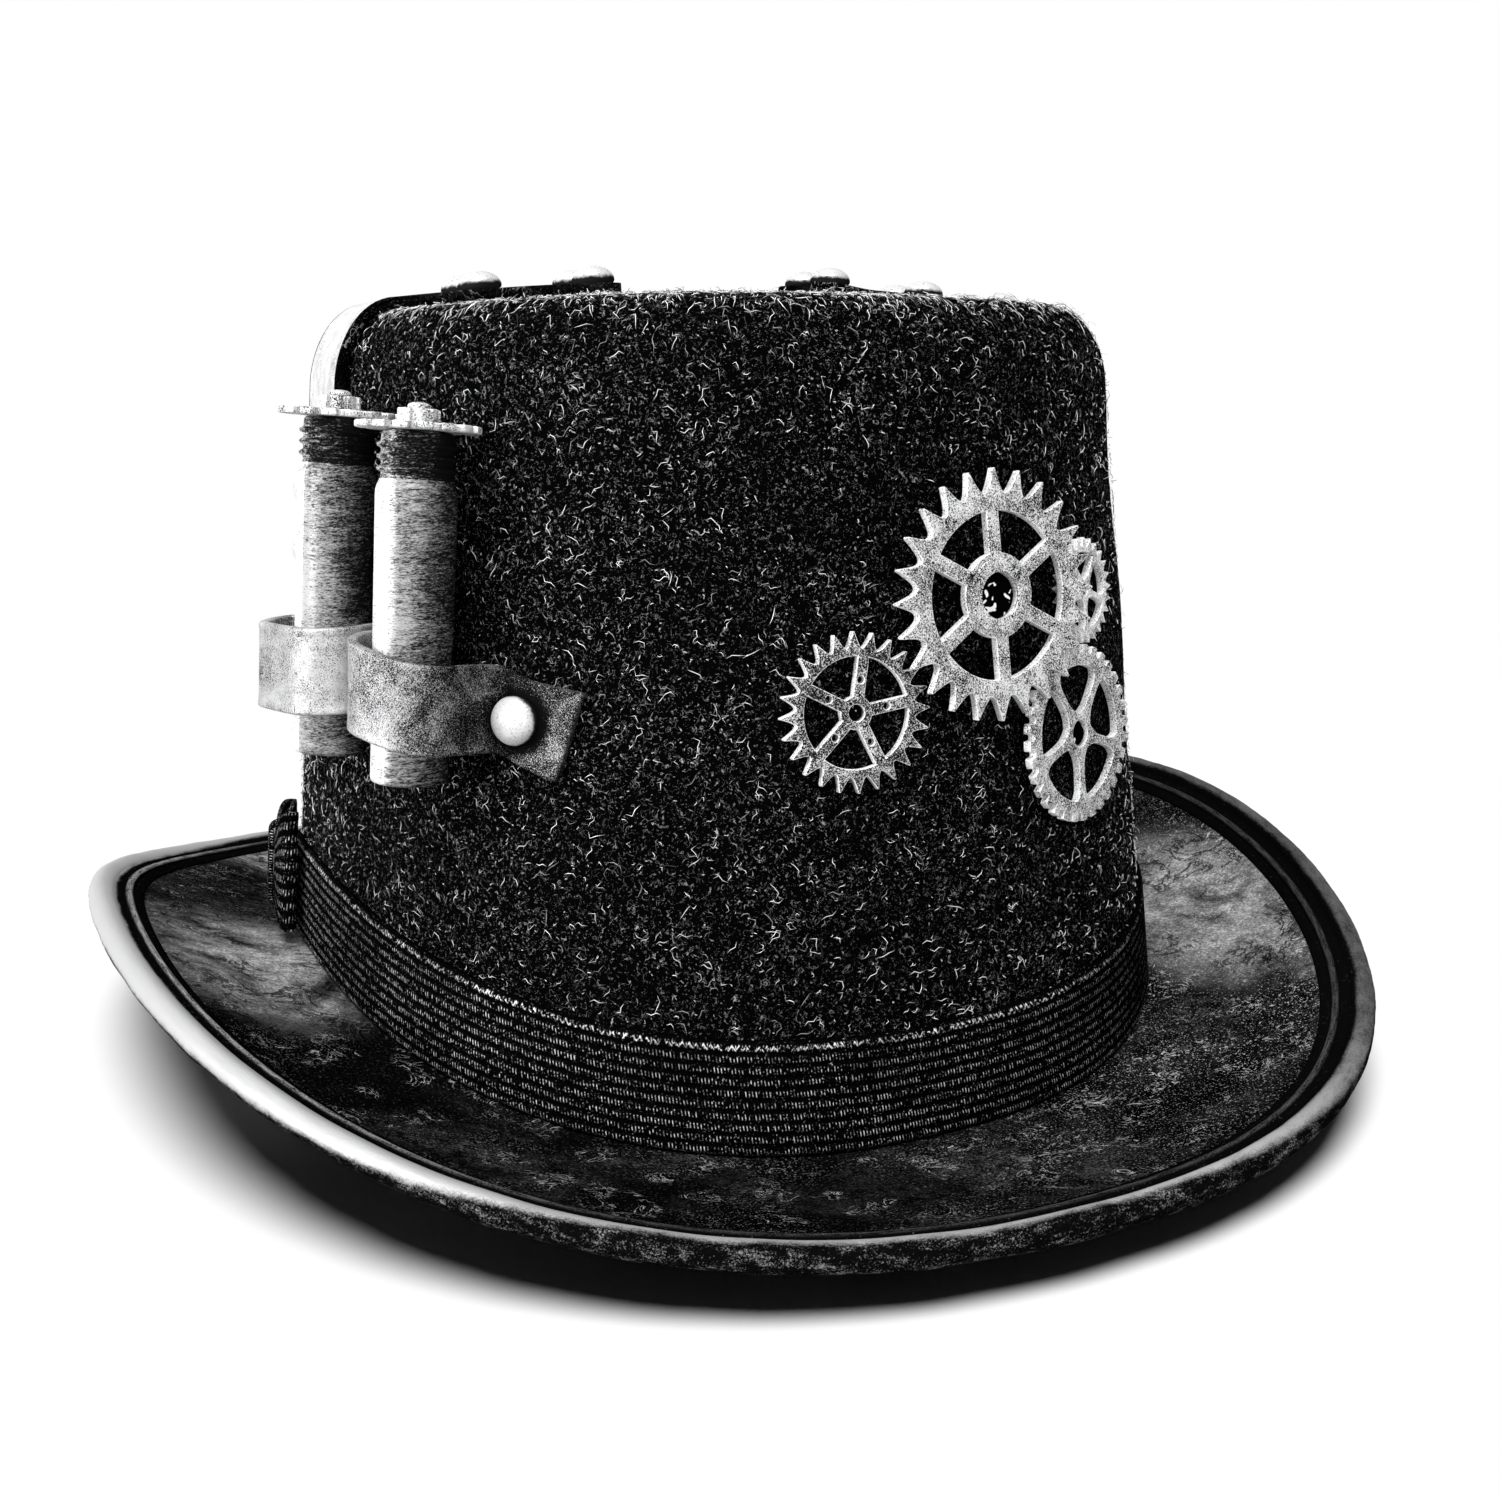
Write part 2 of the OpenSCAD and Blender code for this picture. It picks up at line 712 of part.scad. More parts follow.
function reversed(list) = [for (i = [len(list) - 1 : -1 : 0]) list[i]];

// Length of the path up to a point, and the place at a length: [point, slope angle]
function run_to(i) = i == 0 ? 0 : run_to(i - 1) + norm(strap_path[i] - strap_path[i - 1]);

function place_at(length, i = 1) =
    let (a = run_to(i - 1), b = run_to(i))
    (length <= b || i == len(strap_path) - 1)
        ? let (t = (length - a) / (b - a), d = strap_path[i] - strap_path[i - 1])
            [strap_path[i - 1] + t * d, atan2(d[1], d[0])]
        : place_at(length, i + 1);

strap_length = run_to(len(strap_path) - 1);
low_stud_pitch = 12;
stud_runs_right = [
    stud_inset, stud_inset + stud_pitch, stud_inset + 2 * stud_pitch - 3,
    strap_length - stud_inset - 2.6 - low_stud_pitch, strap_length - stud_inset - 2.6
];
stud_runs_left = [stud_runs_right[0], stud_runs_right[1], stud_runs_right[3], stud_runs_right[4]];

// A frame on the right strap's outer face: Z out of it
module on_strap(length, row) {
    place = place_at(length);
    translate([place[0][0], tip_y + row * stud_rows / 2, place[0][1]])
        rotate([0, -place[1], 0])
            translate([0, 0, strap_seat + tip_strap_t + 2 * seat])
                children();
}

end_corner_r = 5;

// The outline of the strap's tip end seen from above, to trim its corners round
module end_outline() {
    half = tip_strap_w / 2;
    start = tip_gap / 2;
    translate([start + end_corner_r, -half])
        square([brim_half_width, tip_strap_w]);
    translate([start, -half + end_corner_r])
        square([end_corner_r * 2, tip_strap_w - 2 * end_corner_r]);
    for (side = [-1, 1])
        translate([start + end_corner_r, side * (half - end_corner_r)])
            circle(r = end_corner_r, $fn = 48);
}

module tip_strap(runs) {
    difference() {
        intersection() {
            translate([0, tip_y + tip_strap_w / 2, 0])
                rotate([90, 0, 0])
                    linear_extrude(height = tip_strap_w)
                        polygon(concat(
                            offset_path(strap_seat + tip_strap_t),
                            reversed(offset_path(strap_seat))
                        ));
            translate([0, tip_y, 0])
                linear_extrude(height = crown_height + 50)
                    end_outline();
        }
        for (length = runs, row = [-1, 1])
            on_strap(length, row)
                translate([0, 0, -6])
                    cylinder(r = shank_r + seat, h = 8, $fn = 32);
    }
}

module tip_studs(runs) {
    for (length = runs, row = [-1, 1])
        on_strap(length, row)
            stud(tip_strap_t);
}

module tip_strap_right() {
    color("#b0b1b3") tip_strap(stud_runs_right);
}

module tip_strap_right_studs() {
    color("#c9cacc") tip_studs(stud_runs_right);
}

module tip_strap_left() {
    color("#b0b1b3") mirror([1, 0, 0]) tip_strap(stud_runs_left);
}

module tip_strap_left_studs() {
    color("#c9cacc") mirror([1, 0, 0]) tip_studs(stud_runs_left);
}

// ---- gears ----

// A toothed disc whose gaps are scooped: r = root + depth * |u|^power across each gap
module scooped_disc(radius, root_share, teeth, land, power) {
    root = radius * root_share;
    pitch = 360 / teeth;
    samples = [-1, -0.82, -0.62, -0.35, 0, 0.35, 0.62, 0.82, 1];
    polygon([
        for (i = [0 : teeth - 1], u = samples)
            let (a = (i + 0.5) * pitch + u * pitch * (1 - land) / 2)
            (root + (radius - root) * pow(abs(u), power)) * [cos(a), sin(a)]
    ]);
}

// Windows between spokes: the ring between hub and rim, less the spokes
module windows(radius, rim_share, hub_share) {
    difference() {
        circle(r = radius * rim_share, $fn = 96);
        circle(r = radius * hub_share, $fn = 64);
        children();
    }
}

// A straight spoke along +Y
module straight_spoke(radius, rim_share, width_share) {
    translate([-radius * width_share / 2, 0])
        square([radius * width_share, radius * (rim_share + 0.02)]);
}

// A spoke along +Y that flares into the rim and the hub: half width = w + flare * (2t - 1)^4
module flared_spoke(radius, rim_share, hub_share, width_share, flare) {
    samples = [0 : 0.125 : 1];
    sides_x = [
        for (t = samples)
            [
                radius * (width_share / 2 + flare * pow(2 * t - 1, 4)),
                radius * (hub_share * 0.8 + (rim_share + 0.02 - hub_share * 0.8) * t)
            ]
    ];
    polygon(concat(sides_x, reversed([for (p = sides_x) [-p[0], p[1]]])));
}

module large_gear_plate() {
    r = gear_large_r;
    linear_extrude(height = gear_t)
        difference() {
            scooped_disc(r, 0.806, 24, 0.06, 2);
            windows(r, 0.67, 0.339)
                for (i = [0 : 5])
                    rotate(i * 60 + 3)
                        straight_spoke(r, 0.67, 0.122);
            circle(r = r * 0.186, $fn = 48);
        }
    translate([0, 0, gear_t])
        linear_extrude(height = 0.5)
            difference() {
                circle(r = r * 0.3, $fn = 64);
                circle(r = r * 0.186, $fn = 48);
            }
}

module medium_gear_plate() {
    r = gear_medium_r;
    linear_extrude(height = gear_t)
        difference() {
            scooped_disc(r, 0.8, 24, 0.07, 1.8);
            windows(r, 0.7, 0.19)
                for (i = [0 : 4])
                    rotate(i * 72 - 10)
                        straight_spoke(r, 0.7, 0.15);
            circle(r = r * 0.107, $fn = 32);
            for (i = [0 : 4])
                rotate(i * 72 - 10)
                    translate([0, r * 0.412])
                        circle(r = r * 0.049, $fn = 24);
        }
}

module lower_gear_plate() {
    r = gear_lower_r;
    linear_extrude(height = gear_t)
        difference() {
            block_gear(r, 32, r * 0.095, 0.22);
            windows(r, 0.767, 0.227)
                for (i = [0 : 4])
                    rotate(i * 72 + 180)
                        flared_spoke(r, 0.767, 0.227, 0.1, 0.09);
            circle(r = r * 0.151, $fn = 32);
        }
}

module upper_gear_plate() {
    r = gear_upper_r;
    linear_extrude(height = gear_t)
        difference() {
            scooped_disc(r, 0.82, 25, 0.1, 1.6);
            windows(r, 0.73, 0.2)
                for (i = [0 : 4])
                    rotate(i * 72 + 180)
                        flared_spoke(r, 0.73, 0.2, 0.11, 0.07);
            circle(r = r * 0.099, $fn = 32);
        }
}

// Where each gear sits: [angle round the crown, height, glue under it, hub hole radius]
large_place = [279.1, 99.6, large_glue_t, gear_large_r * 0.186];
medium_place = [261.7, 81.2, small_glue_t, gear_medium_r * 0.107];
lower_place = [292.6, 71.7, small_glue_t, gear_lower_r * 0.151];
upper_place = [295.3, 98.3, small_glue_t, gear_upper_r * 0.099];

module at_gear(place) {
    on_wall(place[0], place[1], place[2])
        children();
}

module gear_large() {
    color("#bfc0c2") at_gear(large_place) large_gear_plate();
}

module gear_medium() {
    color("#b3b4b6") at_gear(medium_place) medium_gear_plate();
}

module gear_lower() {
    color("#b3b4b6") at_gear(lower_place) lower_gear_plate();
}

module gear_upper() {
    color("#b3b4b6") at_gear(upper_place) upper_gear_plate();
}

// A dab of glue: a pad between the felt and the gear, and a nub up in the hub's hole
module glue_dab(place) {
    pad_r = place[3] * 1.6;
    nub_r = place[3] - 2 * seat;
    on_wall(place[0], place[1])
        rotate_extrude($fn = 32)
            polygon([
                [0, seat], [pad_r, seat], [pad_r * 0.95, place[2] - seat], [nub_r, place[2] - seat],
                [nub_r, place[2] + gear_t * 0.45], [nub_r * 0.6, place[2] + gear_t * 0.8],
                [0, place[2] + gear_t * 0.9]
            ]);
}

module gear_glue() {
    color("#d8d3c4")
        for (place = [large_place, medium_place, lower_place, upper_place])
            glue_dab(place);
}

crown_shell();
brim();
brim_binding();
brim_wire();
hatband();
hatband_bow();
bow_knot();
sweatband();
canister_strap();
canister_strap_rivets();
canister_front_body();
canister_front_cog();
canister_front_finial();
canister_rear_body();
canister_rear_cog();
canister_rear_finial();
tip_strap_left();
tip_strap_left_studs();
tip_strap_right();
tip_strap_right_studs();
gear_large();
gear_medium();
gear_lower();
gear_upper();
gear_glue();
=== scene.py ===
"""The looks of a steampunk top hat, built round its packed construction.

Every piece is a surface computed with numpy in millimetres and stored in metres, in the
construction's own frame: +Z up through the crown, the wearer's front at -Y.
"""

from __future__ import annotations

import logging
import math
from dataclasses import dataclass
from enum import Enum
from typing import Callable, Iterable, Mapping, Sequence, Union

import bmesh
import bpy
import numpy as np
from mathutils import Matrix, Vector

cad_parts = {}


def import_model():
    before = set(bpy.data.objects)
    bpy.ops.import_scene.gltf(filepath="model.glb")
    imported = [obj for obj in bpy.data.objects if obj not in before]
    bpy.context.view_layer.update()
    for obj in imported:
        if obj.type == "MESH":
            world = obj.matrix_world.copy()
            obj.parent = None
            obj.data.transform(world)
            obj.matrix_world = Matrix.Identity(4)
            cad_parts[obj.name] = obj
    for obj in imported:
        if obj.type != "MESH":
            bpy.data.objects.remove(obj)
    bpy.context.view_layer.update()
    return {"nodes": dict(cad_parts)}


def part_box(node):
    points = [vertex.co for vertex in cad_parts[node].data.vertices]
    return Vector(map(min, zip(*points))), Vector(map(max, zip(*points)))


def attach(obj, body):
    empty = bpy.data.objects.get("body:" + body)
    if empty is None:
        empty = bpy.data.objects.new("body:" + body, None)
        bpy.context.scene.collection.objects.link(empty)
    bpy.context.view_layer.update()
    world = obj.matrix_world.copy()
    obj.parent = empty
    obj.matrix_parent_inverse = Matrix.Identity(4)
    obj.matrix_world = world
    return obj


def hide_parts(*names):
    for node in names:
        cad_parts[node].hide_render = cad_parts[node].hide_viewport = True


LOG = logging.getLogger("top_hat")
MM = 0.001
FULL_TURN = 2.0 * math.pi

Array = np.ndarray


class Side(Enum):
    """A side of the hat, as the sign of its X."""

    LEFT = -1
    RIGHT = 1


class Body(Enum):
    """The construction's bodies that pieces ride on."""

    HAT = "hat"
    CANISTER_FRONT = "canister_front"
    CANISTER_REAR = "canister_rear"


# ---------------------------------------------------------------------------------------
# Shader graphs
# ---------------------------------------------------------------------------------------


class Signal:
    """A socket's value in a material, with arithmetic that adds Math nodes."""

    def __init__(self, graph: "Graph", socket: bpy.types.NodeSocket) -> None:
        """Keeps the graph the socket belongs to."""
        self.graph = graph
        self.socket = socket

    def _math(self, operation: str, *values: "Value") -> "Signal":
        """Adds one Math node over the given values."""
        return self.graph.make(
            "ShaderNodeMath", {"operation": operation}, dict(enumerate(values))
        )

    def __add__(self, other: "Value") -> "Signal":
        """Sum."""
        return self._math("ADD", self, other)

    __radd__ = __add__

    def __sub__(self, other: "Value") -> "Signal":
        """Difference."""
        return self._math("SUBTRACT", self, other)

    def __rsub__(self, other: "Value") -> "Signal":
        """Difference from a number on the left."""
        return self._math("SUBTRACT", other, self)

    def __mul__(self, other: "Value") -> "Signal":
        """Product."""
        return self._math("MULTIPLY", self, other)

    __rmul__ = __mul__

    def __truediv__(self, other: "Value") -> "Signal":
        """Quotient."""
        return self._math("DIVIDE", self, other)

    def __abs__(self) -> "Signal":
        """Absolute value."""
        return self._math("ABSOLUTE", self)

    def larger(self, other: "Value") -> "Signal":
        """The larger of this and another value."""
        return self._math("MAXIMUM", self, other)

    def sine(self) -> "Signal":
        """Sine, of radians."""
        return self._math("SINE", self)

    def fraction(self) -> "Signal":
        """The part after the decimal point."""
        return self._math("FRACT", self)


Value = Union[Signal, float, int, Sequence[float]]
Colour = tuple[float, float, float]


def grey(level: float) -> Colour:
    """A neutral colour of one level."""
    return (level, level, level * 1.01)


class Graph:
    """One procedural material and the nodes it is made of."""

    def __init__(self, name: str, tree: Union[bpy.types.NodeTree, None] = None) -> None:
        """Starts an empty material, or empties another node tree; patterns are in millimetres."""
        if tree is None:
            self.material = bpy.data.materials.new(name)
            self.material.use_nodes = True
            tree = self.material.node_tree
        self.tree = tree
        self.tree.nodes.clear()
        metres = self.make("ShaderNodeTexCoord", {}, {}, "Object")
        self.place = self.scaled(metres, (1 / MM, 1 / MM, 1 / MM))

    def make(
        self,
        kind: str,
        settings: Mapping[str, object],
        sockets: Mapping[Union[int, str], Value],
        output: Union[int, str] = 0,
    ) -> Signal:
        """Adds a node.

        Args:
            kind: the node's type.
            settings: its properties, set first.
            sockets: values or links, by socket name or number.
            output: the output to return.

        Returns:
            The chosen output as a signal.
        """
        node = self.tree.nodes.new(kind)
        for key, value in settings.items():
            setattr(node, key, value)
        for key, value in sockets.items():
            if isinstance(value, Signal):
                self.tree.links.new(value.socket, node.inputs[key])
            else:
                node.inputs[key].default_value = value
        return Signal(self, node.outputs[output] if len(node.outputs) else node.inputs[0])

    def scaled(self, vector: Value, scale: Sequence[float]) -> Signal:
        """A vector times a scale for each axis."""
        return self.make(
            "ShaderNodeVectorMath", {"operation": "MULTIPLY"}, {0: vector, 1: scale}, 0
        )

    def moved(self, vector: Value, offset: Value) -> Signal:
        """A vector plus an offset."""
        return self.make(
            "ShaderNodeVectorMath", {"operation": "ADD"}, {0: vector, 1: offset}, 0
        )

    def axis(self, vector: Value, name: str) -> Signal:
        """One component of a vector, by its letter."""
        return self.make("ShaderNodeSeparateXYZ", {}, {0: vector}, name)

    def noise(
        self,
        size: float,
        detail: float = 2.0,
        roughness: float = 0.5,
        twist: float = 0.0,
        at: Union[Signal, None] = None,
    ) -> Signal:
        """Cloudy noise about 0.5.

        Args:
            size: the size of its features, in millimetres.
            detail: how many finer layers it has.
            roughness: how strong those are.
            twist: how much it is distorted.
            at: the place it reads, or the piece's own coordinates.

        Returns:
            The noise.
        """
        return self.make(
            "ShaderNodeTexNoise",
            {},
            {
                "Vector": at or self.place,
                "Scale": 1.0 / size,
                "Detail": detail,
                "Roughness": roughness,
                "Distortion": twist,
            },
            0,
        )

    def step(self, value: Value, low: float, high: float) -> Signal:
        """A soft step from 0 at low to 1 at high; low may be the larger."""
        return self.make(
            "ShaderNodeMapRange",
            {"interpolation_type": "SMOOTHSTEP", "clamp": True},
            {0: value, 1: low, 2: high, 3: 0.0, 4: 1.0},
        )

    def blend(self, share: Value, first: Value, second: Value) -> Signal:
        """A colour between two, by a share."""
        first, second = (
            (*value, 1.0) if isinstance(value, tuple) else value for value in (first, second)
        )
        return self.make(
            "ShaderNodeMix", {"data_type": "RGBA"}, {0: share, 6: first, 7: second}, 2
        )

    def bump(self, height: Signal, depth: float, under: Union[Signal, None] = None) -> Signal:
        """A normal from a height of 0 to 1 that stands for a depth in millimetres."""
        sockets: dict[Union[int, str], Value] = {
            "Strength": 1.0,
            "Distance": depth * MM,
            "Height": height,
        }
        if under is not None:
            sockets["Normal"] = under
        return self.make("ShaderNodeBump", {}, sockets, 0)

    def near(self, centre: Sequence[float], reach: Sequence[float]) -> Signal:
        """How near a place is: 1 at a centre, falling softly to 0 at a reach on each axis."""
        shifted = self.moved(self.place, tuple(-value for value in centre))
        scaled = self.scaled(shifted, tuple(1.0 / value for value in reach))
        distance = self.make(
            "ShaderNodeVectorMath", {"operation": "LENGTH"}, {0: scaled}, "Value"
        )
        return self.step(distance, 1.0, 0.25)

    def uv(self) -> Signal:
        """The piece's own UV map, which holds millimetres along and across it."""
        return self.make("ShaderNodeTexCoord", {}, {}, "UV")

    def principled(self, **sockets: Value) -> bpy.types.Material:
        """Ends the graph in one Principled surface.

        Args:
            sockets: its inputs, with spaces written as underscores. Specular is off unless given,
                so that black stays black.

        Returns:
            The finished material.
        """
        named: dict[Union[int, str], Value] = {"Specular IOR Level": 0.0}
        named.update({key.replace("_", " "): value for key, value in sockets.items()})
        colour = named["Base Color"]
        if isinstance(colour, tuple):
            named["Base Color"] = (*colour, 1.0)
        shader = self.make("ShaderNodeBsdfPrincipled", {}, named)
        self.make("ShaderNodeOutputMaterial", {}, {"Surface": shader})
        return self.material


# ---------------------------------------------------------------------------------------
# Finishes
# ---------------------------------------------------------------------------------------


@dataclass(frozen=True)
class FeltFinish:
    """Black wool felt crossed by fine pale curly hairs."""

    name: str = "black_felt"
    ground: float = 0.001
    hair: float = 0.34
    hair_sizes: tuple[float, ...] = (1.6, 0.9)

    def material(self) -> bpy.types.Material:
        """Builds the material: hairs are the thin middle lines of twisted noise."""
        g = Graph(self.name)
        hairs: Union[Signal, None] = None
        for order, size in enumerate(self.hair_sizes):
            shifted = g.moved(g.place, (31.0 * order, 17.0 * order, 53.0 * order))
            line = g.noise(size, 1.0, 0.6, 1.0, shifted)
            broken = g.step(g.noise(size * 0.8, 1.0, 0.5, 0.0, shifted), 0.54, 0.6)
            strand = g.step(abs(line - 0.5), 0.018, 0.007) * broken
            hairs = strand if hairs is None else hairs.larger(strand)
        patches = g.step(g.noise(18.0, 3.0), 0.3, 0.7) * 0.6 + 0.4
        specks = g.step(g.noise(0.34, 1.0, 0.5), 0.69, 0.76)
        shade = hairs.larger(specks * 0.8) * patches
        nap = g.noise(0.7, 3.0, 0.7)
        colour = g.blend(shade, grey(self.ground), grey(self.hair))
        normal = g.bump(nap, 0.3)
        normal = g.bump(shade, 0.2, normal)
        return g.principled(Base_Color=colour, Roughness=0.95, Normal=normal)


@dataclass(frozen=True)
class HairFinish:
    """One shade of loose hair, plain because a hair is thinner than any pattern."""

    name: str
    level: float

    def material(self) -> bpy.types.Material:
        """Builds the material."""
        return Graph(self.name).principled(Base_Color=grey(self.level), Roughness=0.7)


@dataclass(frozen=True)
class WornLeatherFinish:
    """Black leather cloth, grey beside the crown as painted light, specked all over."""

    name: str = "worn_black_leather"
    ground: float = 0.0012
    wear_and_light: float = 0.6
    speck: float = 0.55
    # where light is painted on the brim beside the crown: x, y and the reach along each, in
    # millimetres
    patches: tuple[tuple[float, ...], ...] = (
        (-104.0, -6.0, 28.0, 46.0),
        (98.0, -56.0, 30.0, 54.0),
        (104.0, 40.0, 24.0, 40.0),
        (-70.0, 110.0, 44.0, 30.0),
    )

    def material(self) -> bpy.types.Material:
        """Builds the material: clouds of painted light broken by grain, bright specks, scratches;
        creases painted darker as shade.
        """
        g = Graph(self.name)
        wear_and_light: Union[Signal, None] = None
        for x, y, reach_x, reach_y in self.patches:
            patch = g.near((x, y, 24.0), (reach_x, reach_y, 60.0))
            wear_and_light = patch if wear_and_light is None else wear_and_light.larger(patch)
        cloud = g.step(g.noise(17.0, 5.0, 0.6, 0.7), 0.26, 0.6)
        broad = g.step(g.noise(34.0, 3.0, 0.6, 0.4), 0.4, 0.7)
        grain = g.step(g.noise(0.6, 3.0, 0.8), 0.38, 0.66)
        mottle = g.step(g.noise(3.2, 4.0, 0.7, 0.5), 0.3, 0.7)
        body = wear_and_light * cloud * (0.4 + mottle * 0.6) * (0.35 + grain * 0.65)
        body = body.larger(broad * mottle * grain * 0.1)
        specks = g.step(g.noise(0.42, 2.0, 0.6, 0.4), 0.6, 0.68)
        drift = g.step(g.noise(16.0, 4.0, 0.6), 0.4, 0.64)
        right = g.step(g.axis(g.place, "X"), -40.0, 60.0)
        crumbs = g.step(g.noise(1.4, 2.0, 0.6, 1.0), 0.63, 0.68)
        scratch = g.step(abs(g.noise(6.0, 3.0, 0.6, 1.5) - 0.5), 0.012, 0.003)
        scratch = scratch * g.step(g.noise(8.0, 1.0), 0.54, 0.62)
        flecks = specks * (0.06 + drift * 0.3 + right * 0.35)
        flecks = flecks.larger(crumbs * drift * (0.12 + right * 0.65))
        flecks = flecks.larger(scratch * 0.6)
        # painted shade: the creases are painted darker as well as bumped
        crease = g.step(abs(g.noise(12.0, 4.0, 0.65, 1.4) - 0.5), 0.035, 0.006)
        crease = crease * g.step(g.noise(15.0, 1.0), 0.46, 0.58)
        body = body * (1 - crease * 0.8)
        colour = g.blend(body, grey(self.ground), grey(self.wear_and_light))
        colour = g.blend(flecks * 0.85, colour, grey(self.speck))
        normal = g.bump(g.noise(0.45, 2.0, 0.6), 0.1)
        normal = g.bump(g.noise(5.0, 4.0, 0.6, 0.8), 0.5, normal)
        normal = g.bump(1 - crease, 0.35, normal)
        return g.principled(
            Base_Color=colour,
            Roughness=0.7 - body * 0.15,
            Normal=normal,
        )


@dataclass(frozen=True)
class SilverPaintFinish:
    """Silver paint dragged over black, so that the black shows as speckle, with painted shade in
    places.

    Each place of painted shade is (x, y, z, reach, depth): millimetres, and how much the paint
    thins there.
    """

    name: str
    silver: float = 0.7
    ground: float = 0.004
    speckle_size: float = 0.3
    cover: float = 0.6
    metal: float = 0.4
    painted_shade_places: tuple[tuple[float, ...], ...] = ()

    def material(self) -> bpy.types.Material:
        """Builds the material: speckle passes a cloudy threshold where paint is thin."""
        g = Graph(self.name)
        cloud = g.noise(9.0, 4.0, 0.6, 0.5)
        speckle = g.noise(self.speckle_size, 3.0, 0.8)
        amount = speckle + (cloud - 0.5) * 0.5 + (self.cover - 0.5)
        # painted shade: the paint thins round each shaded place
        for x, y, z, reach, shade_depth in self.painted_shade_places:
            amount = amount - g.near((x, y, z), (reach, reach, reach)) * shade_depth
        paint = g.step(amount, 0.42, 0.56)
        tone = g.step(g.noise(2.4, 4.0, 0.7), 0.3, 0.75)
        bright = g.blend(tone, grey(self.silver * 0.7), grey(self.silver))
        colour = g.blend(paint, grey(self.ground), bright)
        normal = g.bump(speckle, 0.05)
        normal = g.bump(g.noise(3.2, 3.0, 0.6), 0.15, normal)
        return g.principled(
            Base_Color=colour,
            Metallic=paint * self.metal,
            Roughness=0.55 - paint * 0.15,
            Normal=normal,
        )


@dataclass(frozen=True)
class BindingFinish:
    """The brim's binding: silver streaked along the bead's lit crest and a scuffed rib, as painted
    light; black between.

    It reads a map across the section: fold -3 to -2, rib -2 to -1, groove -1 to 0, bead 0 to 1.
    """

    name: str = "silvered_binding"
    silver: float = 0.4
    ground: float = 0.002

    def material(self) -> bpy.types.Material:
        """Builds the material: painted highlight wide on the left and narrow in front; painted
        shade dulls the right.
        """
        g = Graph(self.name)
        uv = g.uv()
        across = g.axis(uv, "Y")
        streaks = g.noise(1.0, 4.0, 0.75, 0.2, g.scaled(uv, (0.16, 5.0, 1.0)))
        fine = g.noise(0.32, 3.0, 0.8)
        drift = g.noise(26.0, 4.0, 0.6, 0.4)
        # painted light: the highlight widens on the lit left, and painted shade dulls the right
        left = g.step(g.axis(g.place, "X"), -70.0, -122.0)
        right = g.step(g.axis(g.place, "X"), 10.0, 100.0)
        # the silver keeps to the bead's crest, where light falls: a painted highlight
        inner = g.step(across + left * 0.12, 0.02, 0.2)
        outer = g.step(across - left * 0.34 - right * 0.3, 0.42, 0.16)
        wear_and_light = drift * 0.5 + streaks * 0.45 + fine * 0.5
        paint = g.step(inner * outer * (0.5 + left * 0.16) + wear_and_light - right * 0.16, 0.84, 1.3)
        low = g.step(across, 0.1, 0.3) * g.step(across, 1.05, 0.95)
        flecks = low * g.step(streaks * 0.5 + fine * 0.5, 0.52, 0.64) * 0.45
        # the rib's silver is broken by noise and weighted to the lit left: partly wear, partly
        # painted highlight
        rib = g.step(across, -1.85, -1.6) * g.step(across, -1.1, -1.4)
        painted_highlight = rib * g.step(fine * 0.5 + streaks * 0.5, 0.42, 0.56)
        painted_highlight = painted_highlight * (0.1 + left * 0.75 + right * 0.25)
        dust = g.step(g.noise(0.5, 2.0, 0.7), 0.66, 0.76) * 0.3
        amount = paint.larger(flecks).larger(painted_highlight).larger(dust)
        # painted shade: the silver dims towards the right
        tone = g.blend(right, grey(self.silver), grey(self.silver * 0.3))
        colour = g.blend(amount, grey(self.ground), tone)
        return g.principled(
            Base_Color=colour,
            Metallic=paint * 0.3,
            Roughness=0.42,
            Normal=g.bump(streaks, 0.12, g.bump(fine, 0.05)),
        )


@dataclass(frozen=True)
class ElasticFinish:
    """Black ribbed elastic: a row of short upright stitches along every rib."""

    name: str = "black_elastic"
    ground: float = 0.001
    thread: float = 0.9
    rib_pitch: float = 2.06
    stitch_pitch: float = 0.62
    edge: float = 20.6

    def material(self) -> bpy.types.Material:
        """Builds the material over the band's own map; a zigzag line follows its top edge, and
        painted shade darkens it towards the right.
        """
        g = Graph(self.name)
        uv = g.uv()
        along, across = g.axis(uv, "X"), g.axis(uv, "Y")
        row = abs((across / self.rib_pitch).fraction() - 0.5) * 2
        crest = g.step(row, 0.62, 0.3)
        dash = abs(((along + across * 0.12) / self.stitch_pitch).fraction() - 0.5) * 2
        stitch = g.step(dash, 0.42, 0.12)
        broken = g.step(g.noise(0.8, 2.0, 0.7), 0.44, 0.62)
        patches = g.step(g.noise(16.0, 3.0, 0.6), 0.3, 0.65) * 0.6 + 0.4
        # painted shade: the threads fade towards the band's right side
        patches = patches * (0.05 + g.step(g.axis(g.place, "X"), 84.0, 10.0) * 0.95)
        zig = abs((along / 1.25).fraction() - 0.5) * 1.7
        hem = g.step(abs(across - (self.edge - 1.05) + zig - 0.42), 0.26, 0.12)
        foot = g.step(across, 0.75, 0.2) * g.step(g.noise(0.5, 2.0, 0.8), 0.5, 0.7) * 0.5
        stray = g.step(g.noise(0.4, 2.0, 0.7), 0.66, 0.74) * 0.5
        light = (crest * stitch * broken * 0.8).larger(hem * broken).larger(foot) * patches
        light = light.larger(stray * patches)
        inside = g.step(across, self.edge + 0.2, self.edge)
        colour = g.blend(light * inside, grey(self.ground), grey(self.thread))
        normal = g.bump(stitch * crest, 0.12)
        normal = g.bump(g.noise(0.4, 2.0, 0.6), 0.06, normal)
        return g.principled(Base_Color=colour, Roughness=0.9, Normal=normal)


